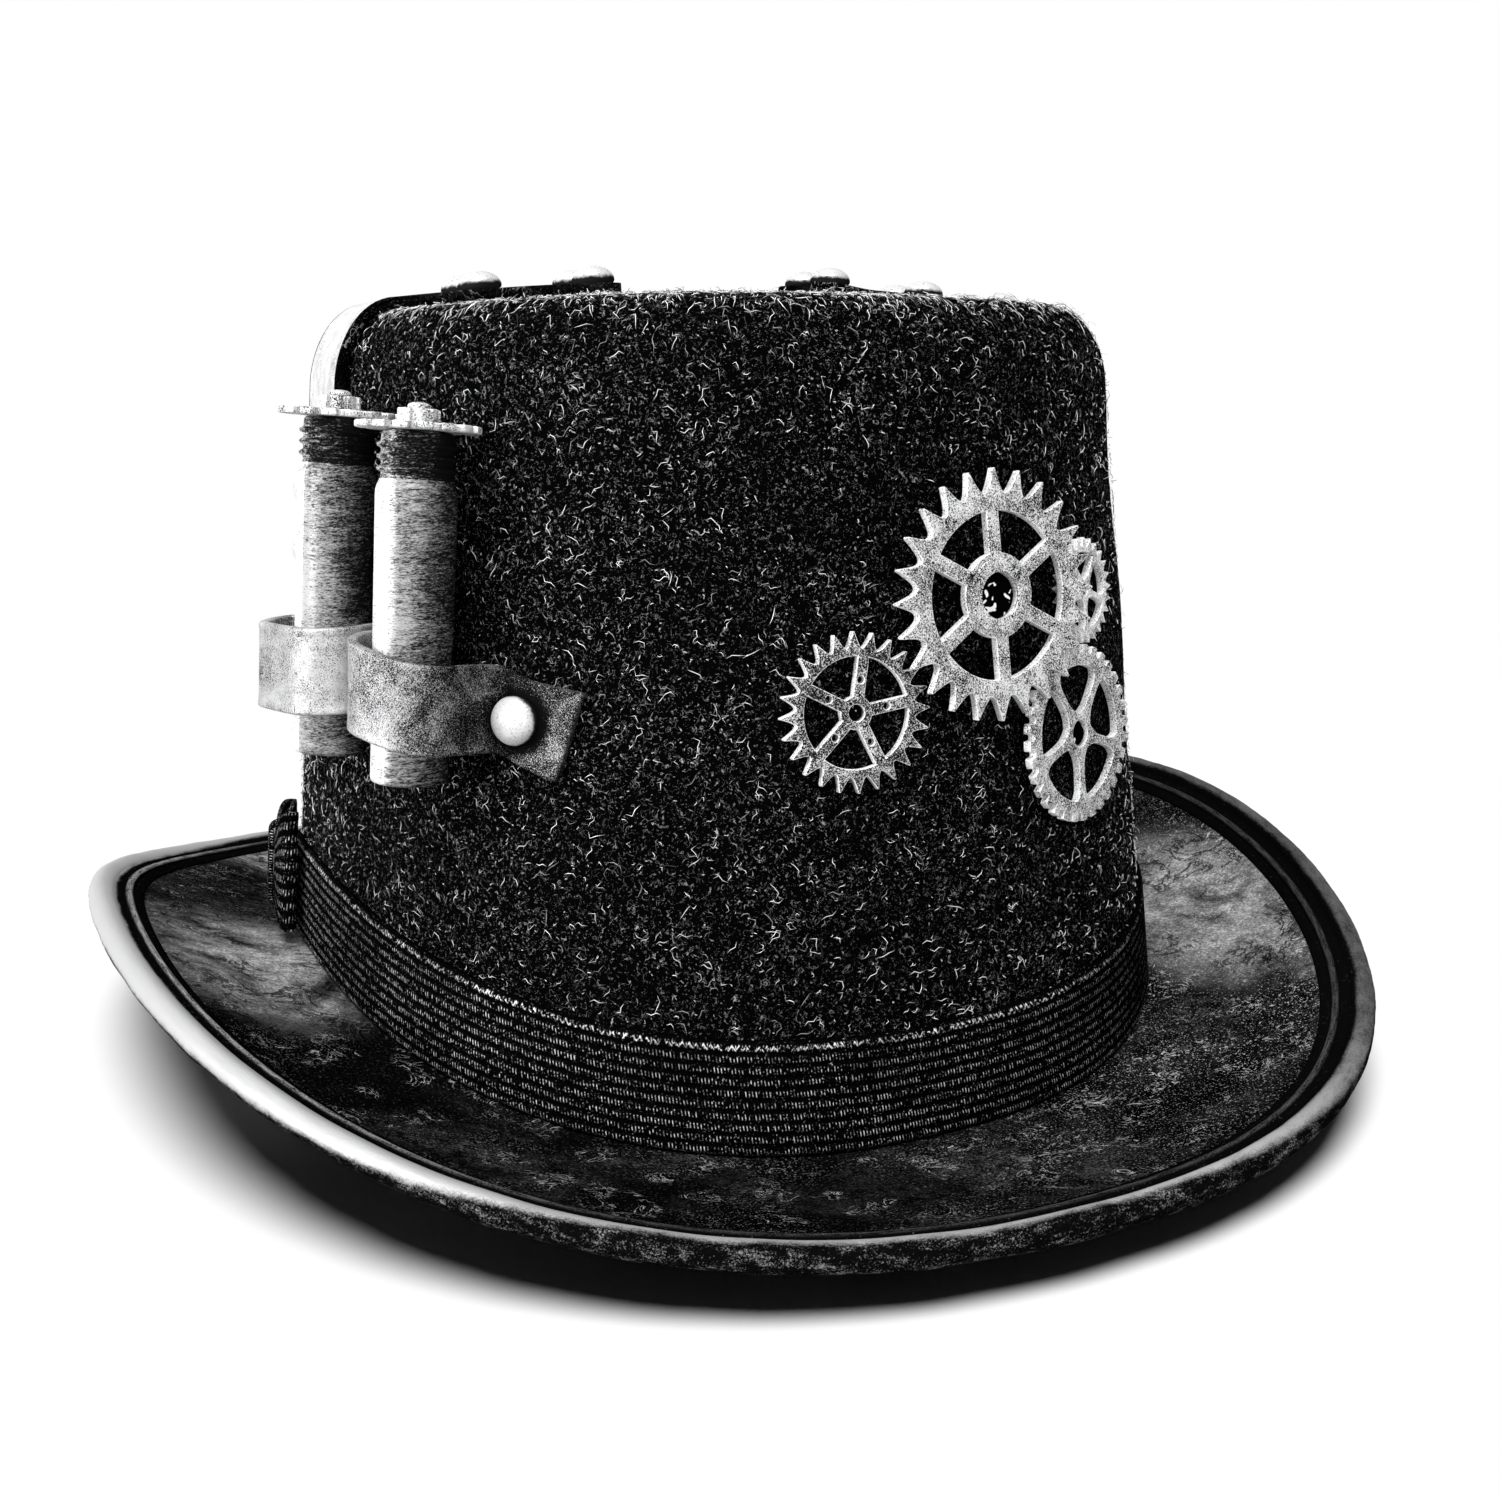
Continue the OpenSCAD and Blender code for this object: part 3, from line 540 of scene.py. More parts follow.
@dataclass(frozen=True)
class BrushedCanFinish:
    """Silver paint drawn round a capsule in fine streaks over a dark shell, with painted light and
    shade.
    """

    name: str = "brushed_silver_shell"
    silver: float = 0.32
    # painted highlight: the silver level on the capsule's lit side, and that side's angle
    painted_highlight: float = 0.85
    highlight_at: float = -0.85
    ground: float = 0.006
    cover: float = 0.5
    girth: float = FULL_TURN * 6.7

    def material(self) -> bpy.types.Material:
        """Builds the material: streaks run round the capsule, whose lit outer left gets a painted
        highlight.

        The noise is squeezed along the axis. The painted highlight follows the cosine of the angle
        round the capsule, which its own map holds as a length; the same cosine thins the paint on
        the shaded right as painted shade.
        """
        g = Graph(self.name)
        turn = g.axis(g.uv(), "X") * (FULL_TURN / self.girth) + (math.pi / 2 - self.highlight_at)
        # side is 1 on the lit outer left: a painted highlight there, and thinner paint on the
        # right as painted shade
        side = turn.sine()
        streaks = g.noise(1.6, 4.0, 0.8, 0.0, g.scaled(g.place, (0.5, 0.5, 3.6)))
        fine = g.noise(0.4, 3.0, 0.8, 0.0, g.scaled(g.place, (0.6, 0.6, 2.2)))
        cloud = g.noise(9.0, 4.0, 0.6, 0.4)
        wear_and_light = streaks * 0.45 + fine * 0.6 + cloud * 0.3 + side * 0.1
        paint = g.step(wear_and_light + (self.cover - 0.56), 0.52, 0.74)
        # painted highlight: the silver brightens towards the lit side
        bright = g.blend(g.step(side, 0.45, 0.98), grey(self.silver), grey(self.painted_highlight))
        colour = g.blend(paint, grey(self.ground), bright)
        return g.principled(
            Base_Color=colour,
            Metallic=paint * 0.4,
            Roughness=0.4,
            Normal=g.bump(fine, 0.05),
        )


@dataclass(frozen=True)
class AntiqueMetalFinish:
    """Cast metal in antique silver: pale and speckled with black; a brighter copy paints a
    highlight on the gears' edges.
    """

    name: str = "antique_silver"
    silver: float = 0.75
    ground: float = 0.006
    cover: float = 0.5
    speck_size: float = 0.28

    def material(self) -> bpy.types.Material:
        """Builds the material: fine black speckle whose amount drifts over the piece."""
        g = Graph(self.name)
        drift = g.noise(5.0, 3.0, 0.6)
        speck = g.noise(self.speck_size, 3.0, 0.85)
        bright = g.step(speck + (drift - 0.5) * 0.3 + (self.cover - 0.5), 0.46, 0.56)
        colour = g.blend(bright, grey(self.ground), grey(self.silver))
        return g.principled(
            Base_Color=colour,
            Metallic=bright * 0.3,
            Roughness=0.4,
            Normal=g.bump(speck, 0.04),
        )


@dataclass(frozen=True)
class PolishedStudFinish:
    """A polished stud, painted dark low round its head as painted shade."""

    name: str = "polished_stud"
    silver: float = 0.62

    def material(self) -> bpy.types.Material:
        """Builds the material: its map's second value runs from the shank up to the crest."""
        g = Graph(self.name)
        up = g.axis(g.uv(), "Y")
        # painted shade: the head is painted dark low down, where it faces away from the light
        low = g.step(up + g.noise(1.4, 3.0, 0.6) * 0.8, 1.9, 1.3)
        speck = g.step(g.noise(0.35, 2.0, 0.8), 0.42, 0.36) * 0.7
        dark = low.larger(speck)
        colour = g.blend(dark, grey(self.silver), grey(0.01))
        return g.principled(
            Base_Color=colour,
            Metallic=0.35 - dark * 0.35,
            Roughness=0.3,
            Normal=g.bump(g.noise(0.8, 3.0, 0.6), 0.04),
        )


@dataclass(frozen=True)
class GlueFinish:
    """Clear glue over black felt: a dark wet gloss with a few painted glints as milky spots."""

    name: str = "set_glue"

    def material(self) -> bpy.types.Material:
        """Builds the material."""
        g = Graph(self.name)
        # painted glints: a few pale spots stand for light caught in the glue
        painted_glints = g.step(g.noise(1.6, 1.0, 0.5, 0.6), 0.64, 0.68)
        return g.principled(
            Base_Color=g.blend(painted_glints, grey(0.001), grey(0.8)),
            Roughness=0.15,
            Normal=g.bump(g.noise(0.9, 2.0, 0.5), 0.12),
        )


@dataclass(frozen=True)
class LiningFinish:
    """Plain woven tape for the sweatband."""

    name: str = "woven_lining"

    def material(self) -> bpy.types.Material:
        """Builds the material: a plain weave over the tape's own map."""
        g = Graph(self.name)
        uv = g.uv()
        warp = (g.axis(uv, "X") * (FULL_TURN / 0.9)).sine()
        weft = (g.axis(uv, "Y") * (FULL_TURN / 0.9)).sine()
        weave = warp * weft * 0.5 + 0.5
        dust = g.noise(6.0, 4.0, 0.6)
        colour = g.blend(weave * dust, grey(0.012), grey(0.07))
        return g.principled(
            Base_Color=colour,
            Roughness=0.8,
            Specular_IOR_Level=0.5,
            Normal=g.bump(weave, 0.12),
        )


@dataclass(frozen=True)
class WireFinish:
    """Drawn steel wire with a little rust bloom."""

    name: str = "drawn_wire"

    def material(self) -> bpy.types.Material:
        """Builds the material."""
        g = Graph(self.name)
        bloom = g.step(g.noise(3.0, 4.0, 0.7), 0.5, 0.75)
        return g.principled(
            Base_Color=g.blend(bloom, grey(0.42), grey(0.2)),
            Metallic=0.8,
            Roughness=0.4,
            Specular_IOR_Level=0.5,
            Normal=g.bump(g.noise(0.5, 2.0), 0.03),
        )


# ---------------------------------------------------------------------------------------
# Surfaces
# ---------------------------------------------------------------------------------------


class Surface:
    """A mesh gathered from grids of points, then made into one object."""

    def __init__(self) -> None:
        """Starts with nothing in it."""
        self._points: list[Array] = []
        self._faces: list[Array] = []
        self._maps: list[Array] = []
        self._slots: list[Array] = []
        self._count = 0

    def grid(
        self,
        points: Array,
        wrap_rows: bool = False,
        wrap_cols: bool = False,
        slot: Union[int, Array] = 0,
        caps: bool = False,
        across: Union[Array, None] = None,
    ) -> "Surface":
        """Adds a grid of points as quads.

        Args:
            points: an array of rows by columns by 3, in millimetres.
            wrap_rows: whether the last row joins the first.
            wrap_cols: whether the last column joins the first.
            slot: the material slot of its faces, or one for each span of rows.
            caps: whether its first and last rows close in a fan about their middles.
            across: its map's value at each row, instead of the length across it.

        Returns:
            The surface, so that calls can be chained.
        """
        rows, cols = points.shape[:2]
        along = np.linalg.norm(np.diff(points, axis=1, append=points[:, :1]), axis=2).mean(0)
        climb = np.linalg.norm(np.diff(points, axis=0, append=points[:1]), axis=2).mean(1)
        u = np.concatenate([[0.0], np.cumsum(along)])
        v = np.concatenate([[0.0], np.cumsum(climb)])
        if across is not None:
            v = np.append(across, across[-1])
        i = np.arange(rows if wrap_rows else rows - 1)[:, None]
        j = np.arange(cols if wrap_cols else cols - 1)[None, :]
        i2, j2 = (i + 1) % rows, (j + 1) % cols
        quads = np.stack(
            [i * cols + j, i * cols + j2, i2 * cols + j2, i2 * cols + j], axis=-1
        ).reshape(-1, 4)
        i, j = np.broadcast_arrays(i, j)
        spans = np.broadcast_to(slot, i.shape[0])[:, None] + 0 * j
        slots = spans.reshape(-1)
        corners = np.stack(
            [
                np.stack([u[j], v[i]], -1),
                np.stack([u[j + 1], v[i]], -1),
                np.stack([u[j + 1], v[i + 1]], -1),
                np.stack([u[j], v[i + 1]], -1),
            ],
            axis=2,
        ).reshape(-1, 4, 2)
        flat = points.reshape(-1, 3)
        if caps:
            first, last = rows * cols, rows * cols + 1
            ring = np.arange(cols)
            after = (ring + 1) % cols
            low = np.stack([after, ring, np.full(cols, first), np.full(cols, first)], -1)
            top = (rows - 1) * cols
            high = np.stack(
                [top + ring, top + after, np.full(cols, last), np.full(cols, last)], -1
            )
            quads = np.concatenate([quads, low, high])
            fans = np.zeros((2, cols, 4, 2))
            fans[0, ..., 1], fans[1, ..., 1] = v[0], v[rows - 1]
            corners = np.concatenate([corners, fans.reshape(-1, 4, 2)])
            slots = np.concatenate([slots, np.repeat(slots[[0, -1]], cols)])
            flat = np.concatenate(
                [flat, points[0].mean(0)[None], points[-1].mean(0)[None]]
            )
        self._add(flat, quads, corners, slots)
        return self

    def _add(self, points: Array, quads: Array, corners: Array, slots: Array) -> None:
        """Stores faces, turned so that their signed volume is positive."""
        a, b, c, d = (points[quads[:, k]] for k in range(4))
        middle = points.mean(0)
        a, b, c, d = a - middle, b - middle, c - middle, d - middle
        volume = np.einsum("ij,ij->", a, np.cross(b, c)) + np.einsum("ij,ij->", a, np.cross(c, d))
        if volume < 0:
            quads, corners = quads[:, ::-1], corners[:, ::-1]
            pinch = quads[:, 0] == quads[:, 1]
            quads = np.where(pinch[:, None], np.roll(quads, -2, axis=1), quads)
            corners = np.where(pinch[:, None, None], np.roll(corners, -2, axis=1), corners)
        self._points.append(points)
        self._faces.append(quads + self._count)
        self._maps.append(corners)
        self._slots.append(slots)
        self._count += len(points)

    def build(self, name: str, materials: Sequence[bpy.types.Material]) -> bpy.types.Object:
        """Makes the object, shaded smooth.

        Args:
            name: the piece's name.
            materials: its material slots.

        Returns:
            The object, at the origin with its place in its mesh.
        """
        quads = np.concatenate(self._faces)
        corners = np.concatenate(self._maps)
        keep = np.ones(quads.shape, bool)
        keep[:, 3] = quads[:, 3] != quads[:, 2]
        mesh = new_mesh(
            name,
            np.concatenate(self._points),
            quads[keep],
            keep.sum(1),
            np.concatenate(self._slots),
            materials,
        )
        layer = mesh.uv_layers.new(name="Along")
        layer.uv.foreach_set("vector", corners[keep].astype(np.float32).ravel())
        mesh.update(calc_edges=True)
        mesh.validate()
        mesh.shade_smooth()
        return add_object(name, mesh)


def add_object(name: str, data: bpy.types.ID) -> bpy.types.Object:
    """Makes an object that holds some data and links it into the scene."""
    made = bpy.data.objects.new(name, data)
    bpy.context.scene.collection.objects.link(made)
    return made


def new_mesh(
    name: str,
    points: Array,
    loops: Array,
    sizes: Array,
    slots: Array,
    materials: Sequence[bpy.types.Material],
) -> bpy.types.Mesh:
    """Makes a mesh, whose edges its caller still has to update.

    Args:
        name: the mesh's name.
        points: its points, in millimetres.
        loops: the point numbers of all its faces, one face after another.
        sizes: how many corners each face has.
        slots: each face's material slot.
        materials: the materials in those slots.

    Returns:
        The mesh, in metres.
    """
    mesh = bpy.data.meshes.new(name)
    mesh.vertices.add(len(points))
    mesh.vertices.foreach_set("co", (points * MM).astype(np.float32).ravel())
    mesh.loops.add(len(loops))
    mesh.loops.foreach_set("vertex_index", loops.astype(np.int32))
    mesh.polygons.add(len(sizes))
    starts = np.cumsum(sizes) - sizes
    mesh.polygons.foreach_set("loop_start", starts.astype(np.int32))
    mesh.polygons.foreach_set("material_index", slots.astype(np.int32))
    for material in materials:
        mesh.materials.append(material)
    return mesh


def turns(count: int) -> Array:
    """Evenly spaced angles of one full turn."""
    return np.arange(count) * FULL_TURN / count


def around(az: Array, r: Array, z: Array) -> Array:
    """Points from angles, radii and heights, as an array that ends in 3."""
    return np.stack(np.broadcast_arrays(r * np.cos(az), r * np.sin(az), z), axis=-1)


def lengths(path: Array) -> Array:
    """The length run at each point of a path, from 0."""
    return np.concatenate([[0], np.cumsum(np.linalg.norm(np.diff(path, axis=0), axis=1))])


def girth(ring: Array) -> float:
    """The length once round a closed ring of points."""
    return float(np.linalg.norm(np.diff(ring, axis=0, append=ring[:1]), axis=1).sum())


def left_of(path: Array, closed: bool = False) -> Array:
    """Unit normals on the left of a plane path."""
    if closed:
        ahead = np.roll(path, -1, 0) - np.roll(path, 1, 0)
    else:
        ahead = np.gradient(path, axis=0)
    ahead /= np.linalg.norm(ahead, axis=1, keepdims=True)
    return np.stack([-ahead[:, 1], ahead[:, 0]], -1)


def smooth_step(t: Array) -> Array:
    """Rises from 0 to 1 with level ends: u squared times (3 - 2u), with u held to 0..1."""
    u = np.clip(t, 0.0, 1.0)
    return u * u * (3 - 2 * u)


def ripple(x: Array, y: Array, size: float, seed: int, waves: int = 9) -> Array:
    """Soft unevenness of about -1 to 1: a mean of sine waves in seeded directions.

    Args:
        x: first coordinate.
        y: second coordinate.
        size: the waves' middle length, in the coordinates' units.
        seed: what sets directions, lengths and phases.
        waves: how many waves are summed.

    Returns:
        The unevenness at each place.
    """
    rng = np.random.default_rng(seed)
    total = np.zeros(np.broadcast(x, y).shape)
    for _ in range(waves):
        angle, phase = rng.uniform(0, FULL_TURN, 2)
        k = FULL_TURN / (size * rng.uniform(0.6, 1.7))
        total += np.sin(k * (x * math.cos(angle) + y * math.sin(angle)) + phase)
    return total / math.sqrt(waves)


def lathe(profile: Array, steps: int) -> Array:
    """Rings of a profile of [radius, height] turned about Z: each row is one ring."""
    return around(turns(steps), profile[:, :1], profile[:, 1:])


def rounded_profile(points: Sequence[Sequence[float]], radius: float, steps: int = 3) -> Array:
    """A polyline whose inner corners are rounded by quadratic curves.

    Args:
        points: the corners.
        radius: how far from each corner its curve starts, at most half of each leg.
        steps: how many spans each curve has.

    Returns:
        The finer polyline: (1-t)^2 start + 2t(1-t) corner + t^2 end at each corner.
    """
    p = np.asarray(points, float)
    parts = [p[:1]]
    t = np.linspace(0, 1, steps + 1)[:, None]
    for before, corner, after in zip(p[:-2], p[1:-1], p[2:]):
        legs = before - corner, after - corner
        lengths = [max(float(np.linalg.norm(leg)), 1e-9) for leg in legs]
        reach = [min(radius, 0.48 * length) for length in lengths]
        start = corner + legs[0] / lengths[0] * reach[0]
        end = corner + legs[1] / lengths[1] * reach[1]
        parts.append((1 - t) ** 2 * start + 2 * t * (1 - t) * corner + t**2 * end)
    parts.append(p[-1:])
    return np.concatenate(parts)


# ---------------------------------------------------------------------------------------
# The hat's form
# ---------------------------------------------------------------------------------------


def corner_mm(node: str, side: int) -> Array:
    """A node's lowest (0) or highest (1) corner, in millimetres."""
    return np.array(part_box(node)[side]) / MM


@dataclass(frozen=True)
class HatForm:
    """The governing curves of crown and brim, in millimetres and radians.

    The brim's and crown's overall sizes come from the frame, and the rest are the same
    named shape values that the construction uses.
    """

    brim_half_width: float
    brim_half_length: float
    tip_top: float
    crown_half_width: float = 92.0
    crown_half_length: float = 100.0
    tip_dome: float = 4.0
    taper: float = 0.093
    squareness: float = 2.33
    shoulder_inset: float = 9.0
    shoulder_drop: float = 14.0
    felt_t: float = 2.5
    brim_squareness: float = 2.14
    brim_t: float = 2.5
    foot_rise: float = 19.0
    foot_power: float = 2.4
    edge_low: float = 10.0
    brim_curl: float = 25.8
    curl_power: float = 2.87
    roll_power: float = 1.6
    bead_r: float = 2.5
    seat: float = 0.05

    @classmethod
    def from_frame(cls) -> "HatForm":
        """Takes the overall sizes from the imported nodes."""
        edge = corner_mm("brim_binding", 1)
        return cls(
            brim_half_width=float(edge[0]),
            brim_half_length=float(edge[1]),
            tip_top=float(corner_mm("crown_shell", 1)[2]),
        )

    @property
    def crown_height(self) -> float:
        """Height of the shoulder's top edge."""
        return self.tip_top - self.tip_dome

    @property
    def foot_mean(self) -> float:
        """Height of the crown's mean foot line."""
        return self.brim_t + self.foot_rise / 2

    @property
    def lean(self) -> float:
        """The wall's lean from upright."""
        return math.atan(self.taper)

    @staticmethod
    def oval(az: Array, a: Array, b: Array, n: float) -> Array:
        """Radius of the oval |x/a|^n + |y/b|^n = 1 at an angle."""
        return (np.abs(np.cos(az) / a) ** n + np.abs(np.sin(az) / b) ** n) ** (-1 / n)

    def wall_r(self, az: Array, z: Array, inset: Array = 0.0) -> Array:
        """Outer radius of the wall at an angle and height, less an inset."""
        draw = self.taper * (z - self.foot_mean) + inset
        return self.oval(
            az, self.crown_half_width - draw, self.crown_half_length - draw, self.squareness
        )

    def wall(self, az: Array, z: Array, off: Array = 0.0) -> Array:
        """Points standing off the wall by a distance, as an array that ends in 3."""
        return around(az, self.wall_r(az, z) + off, z)

    def wall_facing(self, az: float) -> float:
        """Angle of the wall's outward normal in plan: the gradient of the oval's equation."""
        x, y = (float(v) for v in self.wall(np.array(az), np.array(self.foot_mean))[:2])
        n = self.squareness
        gx = math.copysign((abs(x) / self.crown_half_width) ** (n - 1), x)
        gy = math.copysign((abs(y) / self.crown_half_length) ** (n - 1), y)
        return math.atan2(gy / self.crown_half_length, gx / self.crown_half_width)

    def on_wall(self, points: Array, az: float, z: float, off: float = 0.0) -> Array:
        """Sets flat work on the wall: x to the right, y up and z straight out of it."""
        facing = self.wall_facing(az)
        right = np.array([-math.sin(facing), math.cos(facing), 0.0])
        level = np.array([math.cos(facing), math.sin(facing), 0.0])
        upright = np.array([0.0, 0.0, 1.0])
        up = upright * math.cos(self.lean) - level * math.sin(self.lean)
        out = level * math.cos(self.lean) + upright * math.sin(self.lean)
        origin = self.wall(np.array(az), np.array(z)) + off * out
        return origin + points[..., :1] * right + points[..., 1:2] * up + points[..., 2:3] * out

    def foot_z(self, az: Array) -> Array:
        """Height of the line where the crown leaves the brim's top."""
        return self.brim_t + self.foot_rise * np.abs(np.cos(az)) ** self.foot_power

    def bead(self, az: Array) -> Array:
        """Centre of the rolled edge as [..., (radius, height)]."""
        r = self.oval(
            az,
            self.brim_half_width - self.bead_r,
            self.brim_half_length - self.bead_r,
            self.brim_squareness,
        )
        return np.stack(
            [r, self.edge_low + self.brim_curl * np.abs(np.cos(az)) ** self.curl_power], -1
        )

    def brim_mid(self, az: Array, s: Array) -> Array:
        """Middle of the brim's thickness, s from 0 at the crown to 1 at the bead."""
        foot = self.foot_z(az) - self.brim_t / 2
        start = self.wall_r(az, foot) + self.seat
        edge = self.bead(az)
        r = start + (edge[..., 0] - start) * s
        z = foot + (edge[..., 1] - foot) * np.power(s, self.roll_power)
        return np.stack(np.broadcast_arrays(r, z), axis=-1)

    def brim_frame(self, az: Array, s: Array) -> tuple[Array, Array]:
        """Unit vectors along the brim outwards and up from it, as [radius, height]."""
        step = self.brim_mid(az, s + 0.01) - self.brim_mid(az, np.maximum(s - 0.01, 0.0))
        along = step / np.linalg.norm(step, axis=-1, keepdims=True)
        return along, np.stack([-along[..., 1], along[..., 0]], axis=-1)


def swing(az: Array, flat: Array) -> Array:
    """Points from angles and [radius, height] pairs."""
    return around(az, flat[..., 0], flat[..., 1])


def settle(
    piece: bpy.types.Object, body: Body, nodes: Iterable[str] = ()
) -> bpy.types.Object:
    """Rides a piece on its body, hides the construction nodes it stands for, and reports it."""
    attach(piece, body.value)
    replaced = list(nodes)
    if replaced:
        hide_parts(*replaced)
    LOG.info("%s: %d faces on %s", piece.name, len(piece.data.polygons), body.value)
    return piece


def dress(piece: bpy.types.Object, material: bpy.types.Material) -> None:
    """Gives a construction node that stays in view its finish."""
    if not piece.material_slots:
        piece.data.materials.append(material)
    for holder in piece.material_slots:
        holder.material = material
    LOG.info("%s: dressed", piece.name)


# ---------------------------------------------------------------------------------------
# Crown
# ---------------------------------------------------------------------------------------


@dataclass
class Crown:
    """The felt crown, its loose hairs and the sweatband inside it."""

    form: HatForm
    columns: int = 288
    wall_rows: int = 56
    hair_count: int = 5200
    hair_pieces: int = 5
    hair_radius: float = 0.06
    hair_length: tuple[float, float] = (0.5, 3.6)
    hair_curl: float = 2.4
    tip_share: float = 0.2
    fringe_share: float = 0.13
    stray_share: float = 0.08
    shade_shares: tuple[float, float, float] = (0.46, 0.24, 0.30)
    mean_r: float = 90.0
    uneven: float = 0.35
    bulge_size: float = 42.0
    bulge_from: float = 48.0
    bulge_over: float = 30.0
    dent_size: float = 50.0
    dent_from: float = 130.0
    dent_over: float = 20.0
    clear: tuple[tuple[float, float, float], ...] = ()
    sweat_h: float = 26.0
    sweat_t: float = 0.9
    seed: int = 11

    def _rings(self, inset: float, uneven: float) -> Array:
        """Rings from the tip's middle to the foot: dome, quarter-round shoulder, wall.

        The dome's height is tip_dome * (1 - k^2) over its share k of the tip's size, and
        the shoulder follows z = top - drop * (1 - sin t), inset * (1 - cos t).
        """
        f = self.form
        az = turns(self.columns)
        top = f.crown_height - inset
        share = np.linspace(0.04, 1.0, 14)[:, None]
        dome_r = share * f.wall_r(az, f.crown_height, inset + f.shoulder_inset)
        dome_z = top + f.tip_dome * (1 - share**2) + 0 * az
        t = np.linspace(math.pi / 2, 0, 15)[1:, None]
        round_z = top - f.shoulder_drop * (1 - np.sin(t)) + 0 * az
        round_r = f.wall_r(az, round_z, inset + f.shoulder_inset * (1 - np.cos(t)))
        down = np.linspace(0, 1, self.wall_rows)[1:, None]
        low, high = f.foot_z(az) - f.brim_t, top - f.shoulder_drop
        wall_z = high + (low - high) * down
        wall_r = f.wall_r(az, wall_z, inset)
        r = np.concatenate([dome_r, round_r, wall_r])
        z = np.concatenate([dome_z, round_z, wall_z])
        bulge = uneven * ripple(az * self.mean_r + 0 * z, z, self.bulge_size, self.seed)
        r = r + bulge * smooth_step((z - self.bulge_from) / self.bulge_over)
        dent = ripple(r * np.cos(az), r * np.sin(az), self.dent_size, self.seed + 1)
        z = z + uneven * 0.6 * dent * smooth_step((z - self.dent_from) / self.dent_over)
        return around(az, r, z)

    def build_shell(self) -> None:
        """Builds the felt shell, closed over its foot."""
        outer = self._rings(0.0, self.uneven)
        inner = self._rings(self.form.felt_t, 0.0)[::-1]
        piece = Surface().grid(
            np.concatenate([outer, inner]), wrap_cols=True, caps=True
        ).build("felt_crown", [FeltFinish().material()])
        settle(piece, Body.HAT, ["crown_shell"])

    def _hair_roots(self, rng: np.random.Generator) -> tuple[Array, Array, Array]:
        """Angles, heights and tip shares of hairs, spread evenly over wall and tip."""
        f = self.form
        count = self.hair_count * self.hair_pieces
        on_tip = rng.uniform(size=count) < self.tip_share
        az = rng.uniform(0, FULL_TURN, count)
        low = f.foot_z(az) + 21.0
        high = f.crown_height - 1.0
        z = low + (high - low) * rng.uniform(size=count)
        fringe = rng.uniform(size=count) < self.fringe_share
        z = np.where(fringe, f.crown_height - 2.5 * rng.uniform(size=count) ** 2, z)
        share = np.where(on_tip, np.sqrt(rng.uniform(0.0, 1.0, count)), 2.0)
        keep = np.ones(count, bool)
        for turn, level, reach in self.clear:
            across = (az - turn) * f.wall_r(np.array(turn), np.array(level))
            keep &= (np.hypot(across, z - level) > reach) | on_tip
        return az[keep], z[keep], share[keep]

    def _hair_paths(self, rng: np.random.Generator) -> Array:
        """Curly paths: a heading that turns at a steady rate, lifted off the felt as an arch."""
        f = self.form
        az, z, share = self._hair_roots(rng)
        count, joints = len(az), 4
        short, long = self.hair_length
        length = short + (long - short) * rng.uniform(size=count) ** 2.4
        heading = rng.uniform(0, FULL_TURN, count)
        turn = rng.normal(0, self.hair_curl, count)
        t = np.linspace(0, 1, joints)[None, :]
        angle = heading[:, None] + turn[:, None] * t + 0.7 * np.sin(6 * t + heading[:, None])
        step = length[:, None] / (joints - 1)
        u = np.cumsum(np.cos(angle) * step, axis=1)
        v = np.cumsum(np.sin(angle) * step, axis=1)
        lift = rng.uniform(0.05, 0.4, count)[:, None] * np.sin(math.pi * t) + 0.1
        strays = rng.uniform(size=count) < self.stray_share
        lift = lift + strays[:, None] * t * rng.uniform(0.3, 1.3, count)[:, None]
        zz = z[:, None] + v
        aa = az[:, None] + u / self.mean_r
        drop = np.clip((zz - (f.crown_height - f.shoulder_drop)) / f.shoulder_drop, 0, 1)
        inset = f.shoulder_inset * (1 - np.sqrt(1 - drop**2))
        r = f.wall_r(aa, np.minimum(zz, f.crown_height), inset) + lift
        side = around(aa, r, np.minimum(zz, f.crown_height) + lift * drop)
        base = share[:, None] * 0.96 * f.wall_r(az, f.crown_height, f.shoulder_inset)[:, None]
        x = base * np.cos(az)[:, None] + u
        y = base * np.sin(az)[:, None] + v
        dome = f.tip_dome * (1 - (share[:, None] * 0.96) ** 2)
        tip = np.stack([x, y, f.crown_height + dome + lift + 0 * x], -1)
        return np.where((share < 1.5)[:, None, None], tip, side)

    def build_hairs(self) -> None:
        """Builds the hairs as thin three-sided tubes that close to a point at both ends."""
        rng = np.random.default_rng(self.seed)
        paths = self._hair_paths(rng)
        finishes = [
            HairFinish("hair_pale", 0.95).material(),
            HairFinish("hair_mid", 0.35).material(),
            HairFinish("hair_dark", 0.04).material(),
        ]
        order = np.argsort(np.arctan2(paths[:, 0, 1], paths[:, 0, 0]))
        for part, chosen in enumerate(np.array_split(order, self.hair_pieces), 1):
            pick = rng.choice(len(finishes), len(chosen), p=self.shade_shares)
            piece = hair_mesh(
                f"felt_hairs_{part}", paths[chosen], self.hair_radius, finishes, pick
            )
            settle(piece, Body.HAT)

    def build_sweatband(self) -> None:
        """Builds the sweatband: a tape round the inside of the crown's foot."""
        f = self.form
        az = turns(self.columns)
        low = f.foot_z(az) - f.brim_t + 0.4
        heights = np.array([0.0, 0.0, 0.03, 0.5, 0.97, 1.0, 1.0, 0.97, 0.5, 0.03])
        depth = np.array([0.3, 0.7, 1.0, 1.0, 1.0, 0.7, 0.3, 0.0, 0.0, 0.0])
        z = low + heights[:, None] * self.sweat_h
        inset = f.felt_t + f.seat + depth[:, None] * self.sweat_t
        rings = around(az, f.wall_r(az, z, inset), z)
        piece = Surface().grid(rings, wrap_rows=True, wrap_cols=True).build(
            "sweatband_tape", [LiningFinish().material()]
        )
        settle(piece, Body.HAT, ["sweatband"])
        self.sweat_h * MM

    def build(self) -> None:
        """Builds the crown's pieces in order."""
        self.build_shell()
        self.build_hairs()
        self.build_sweatband()


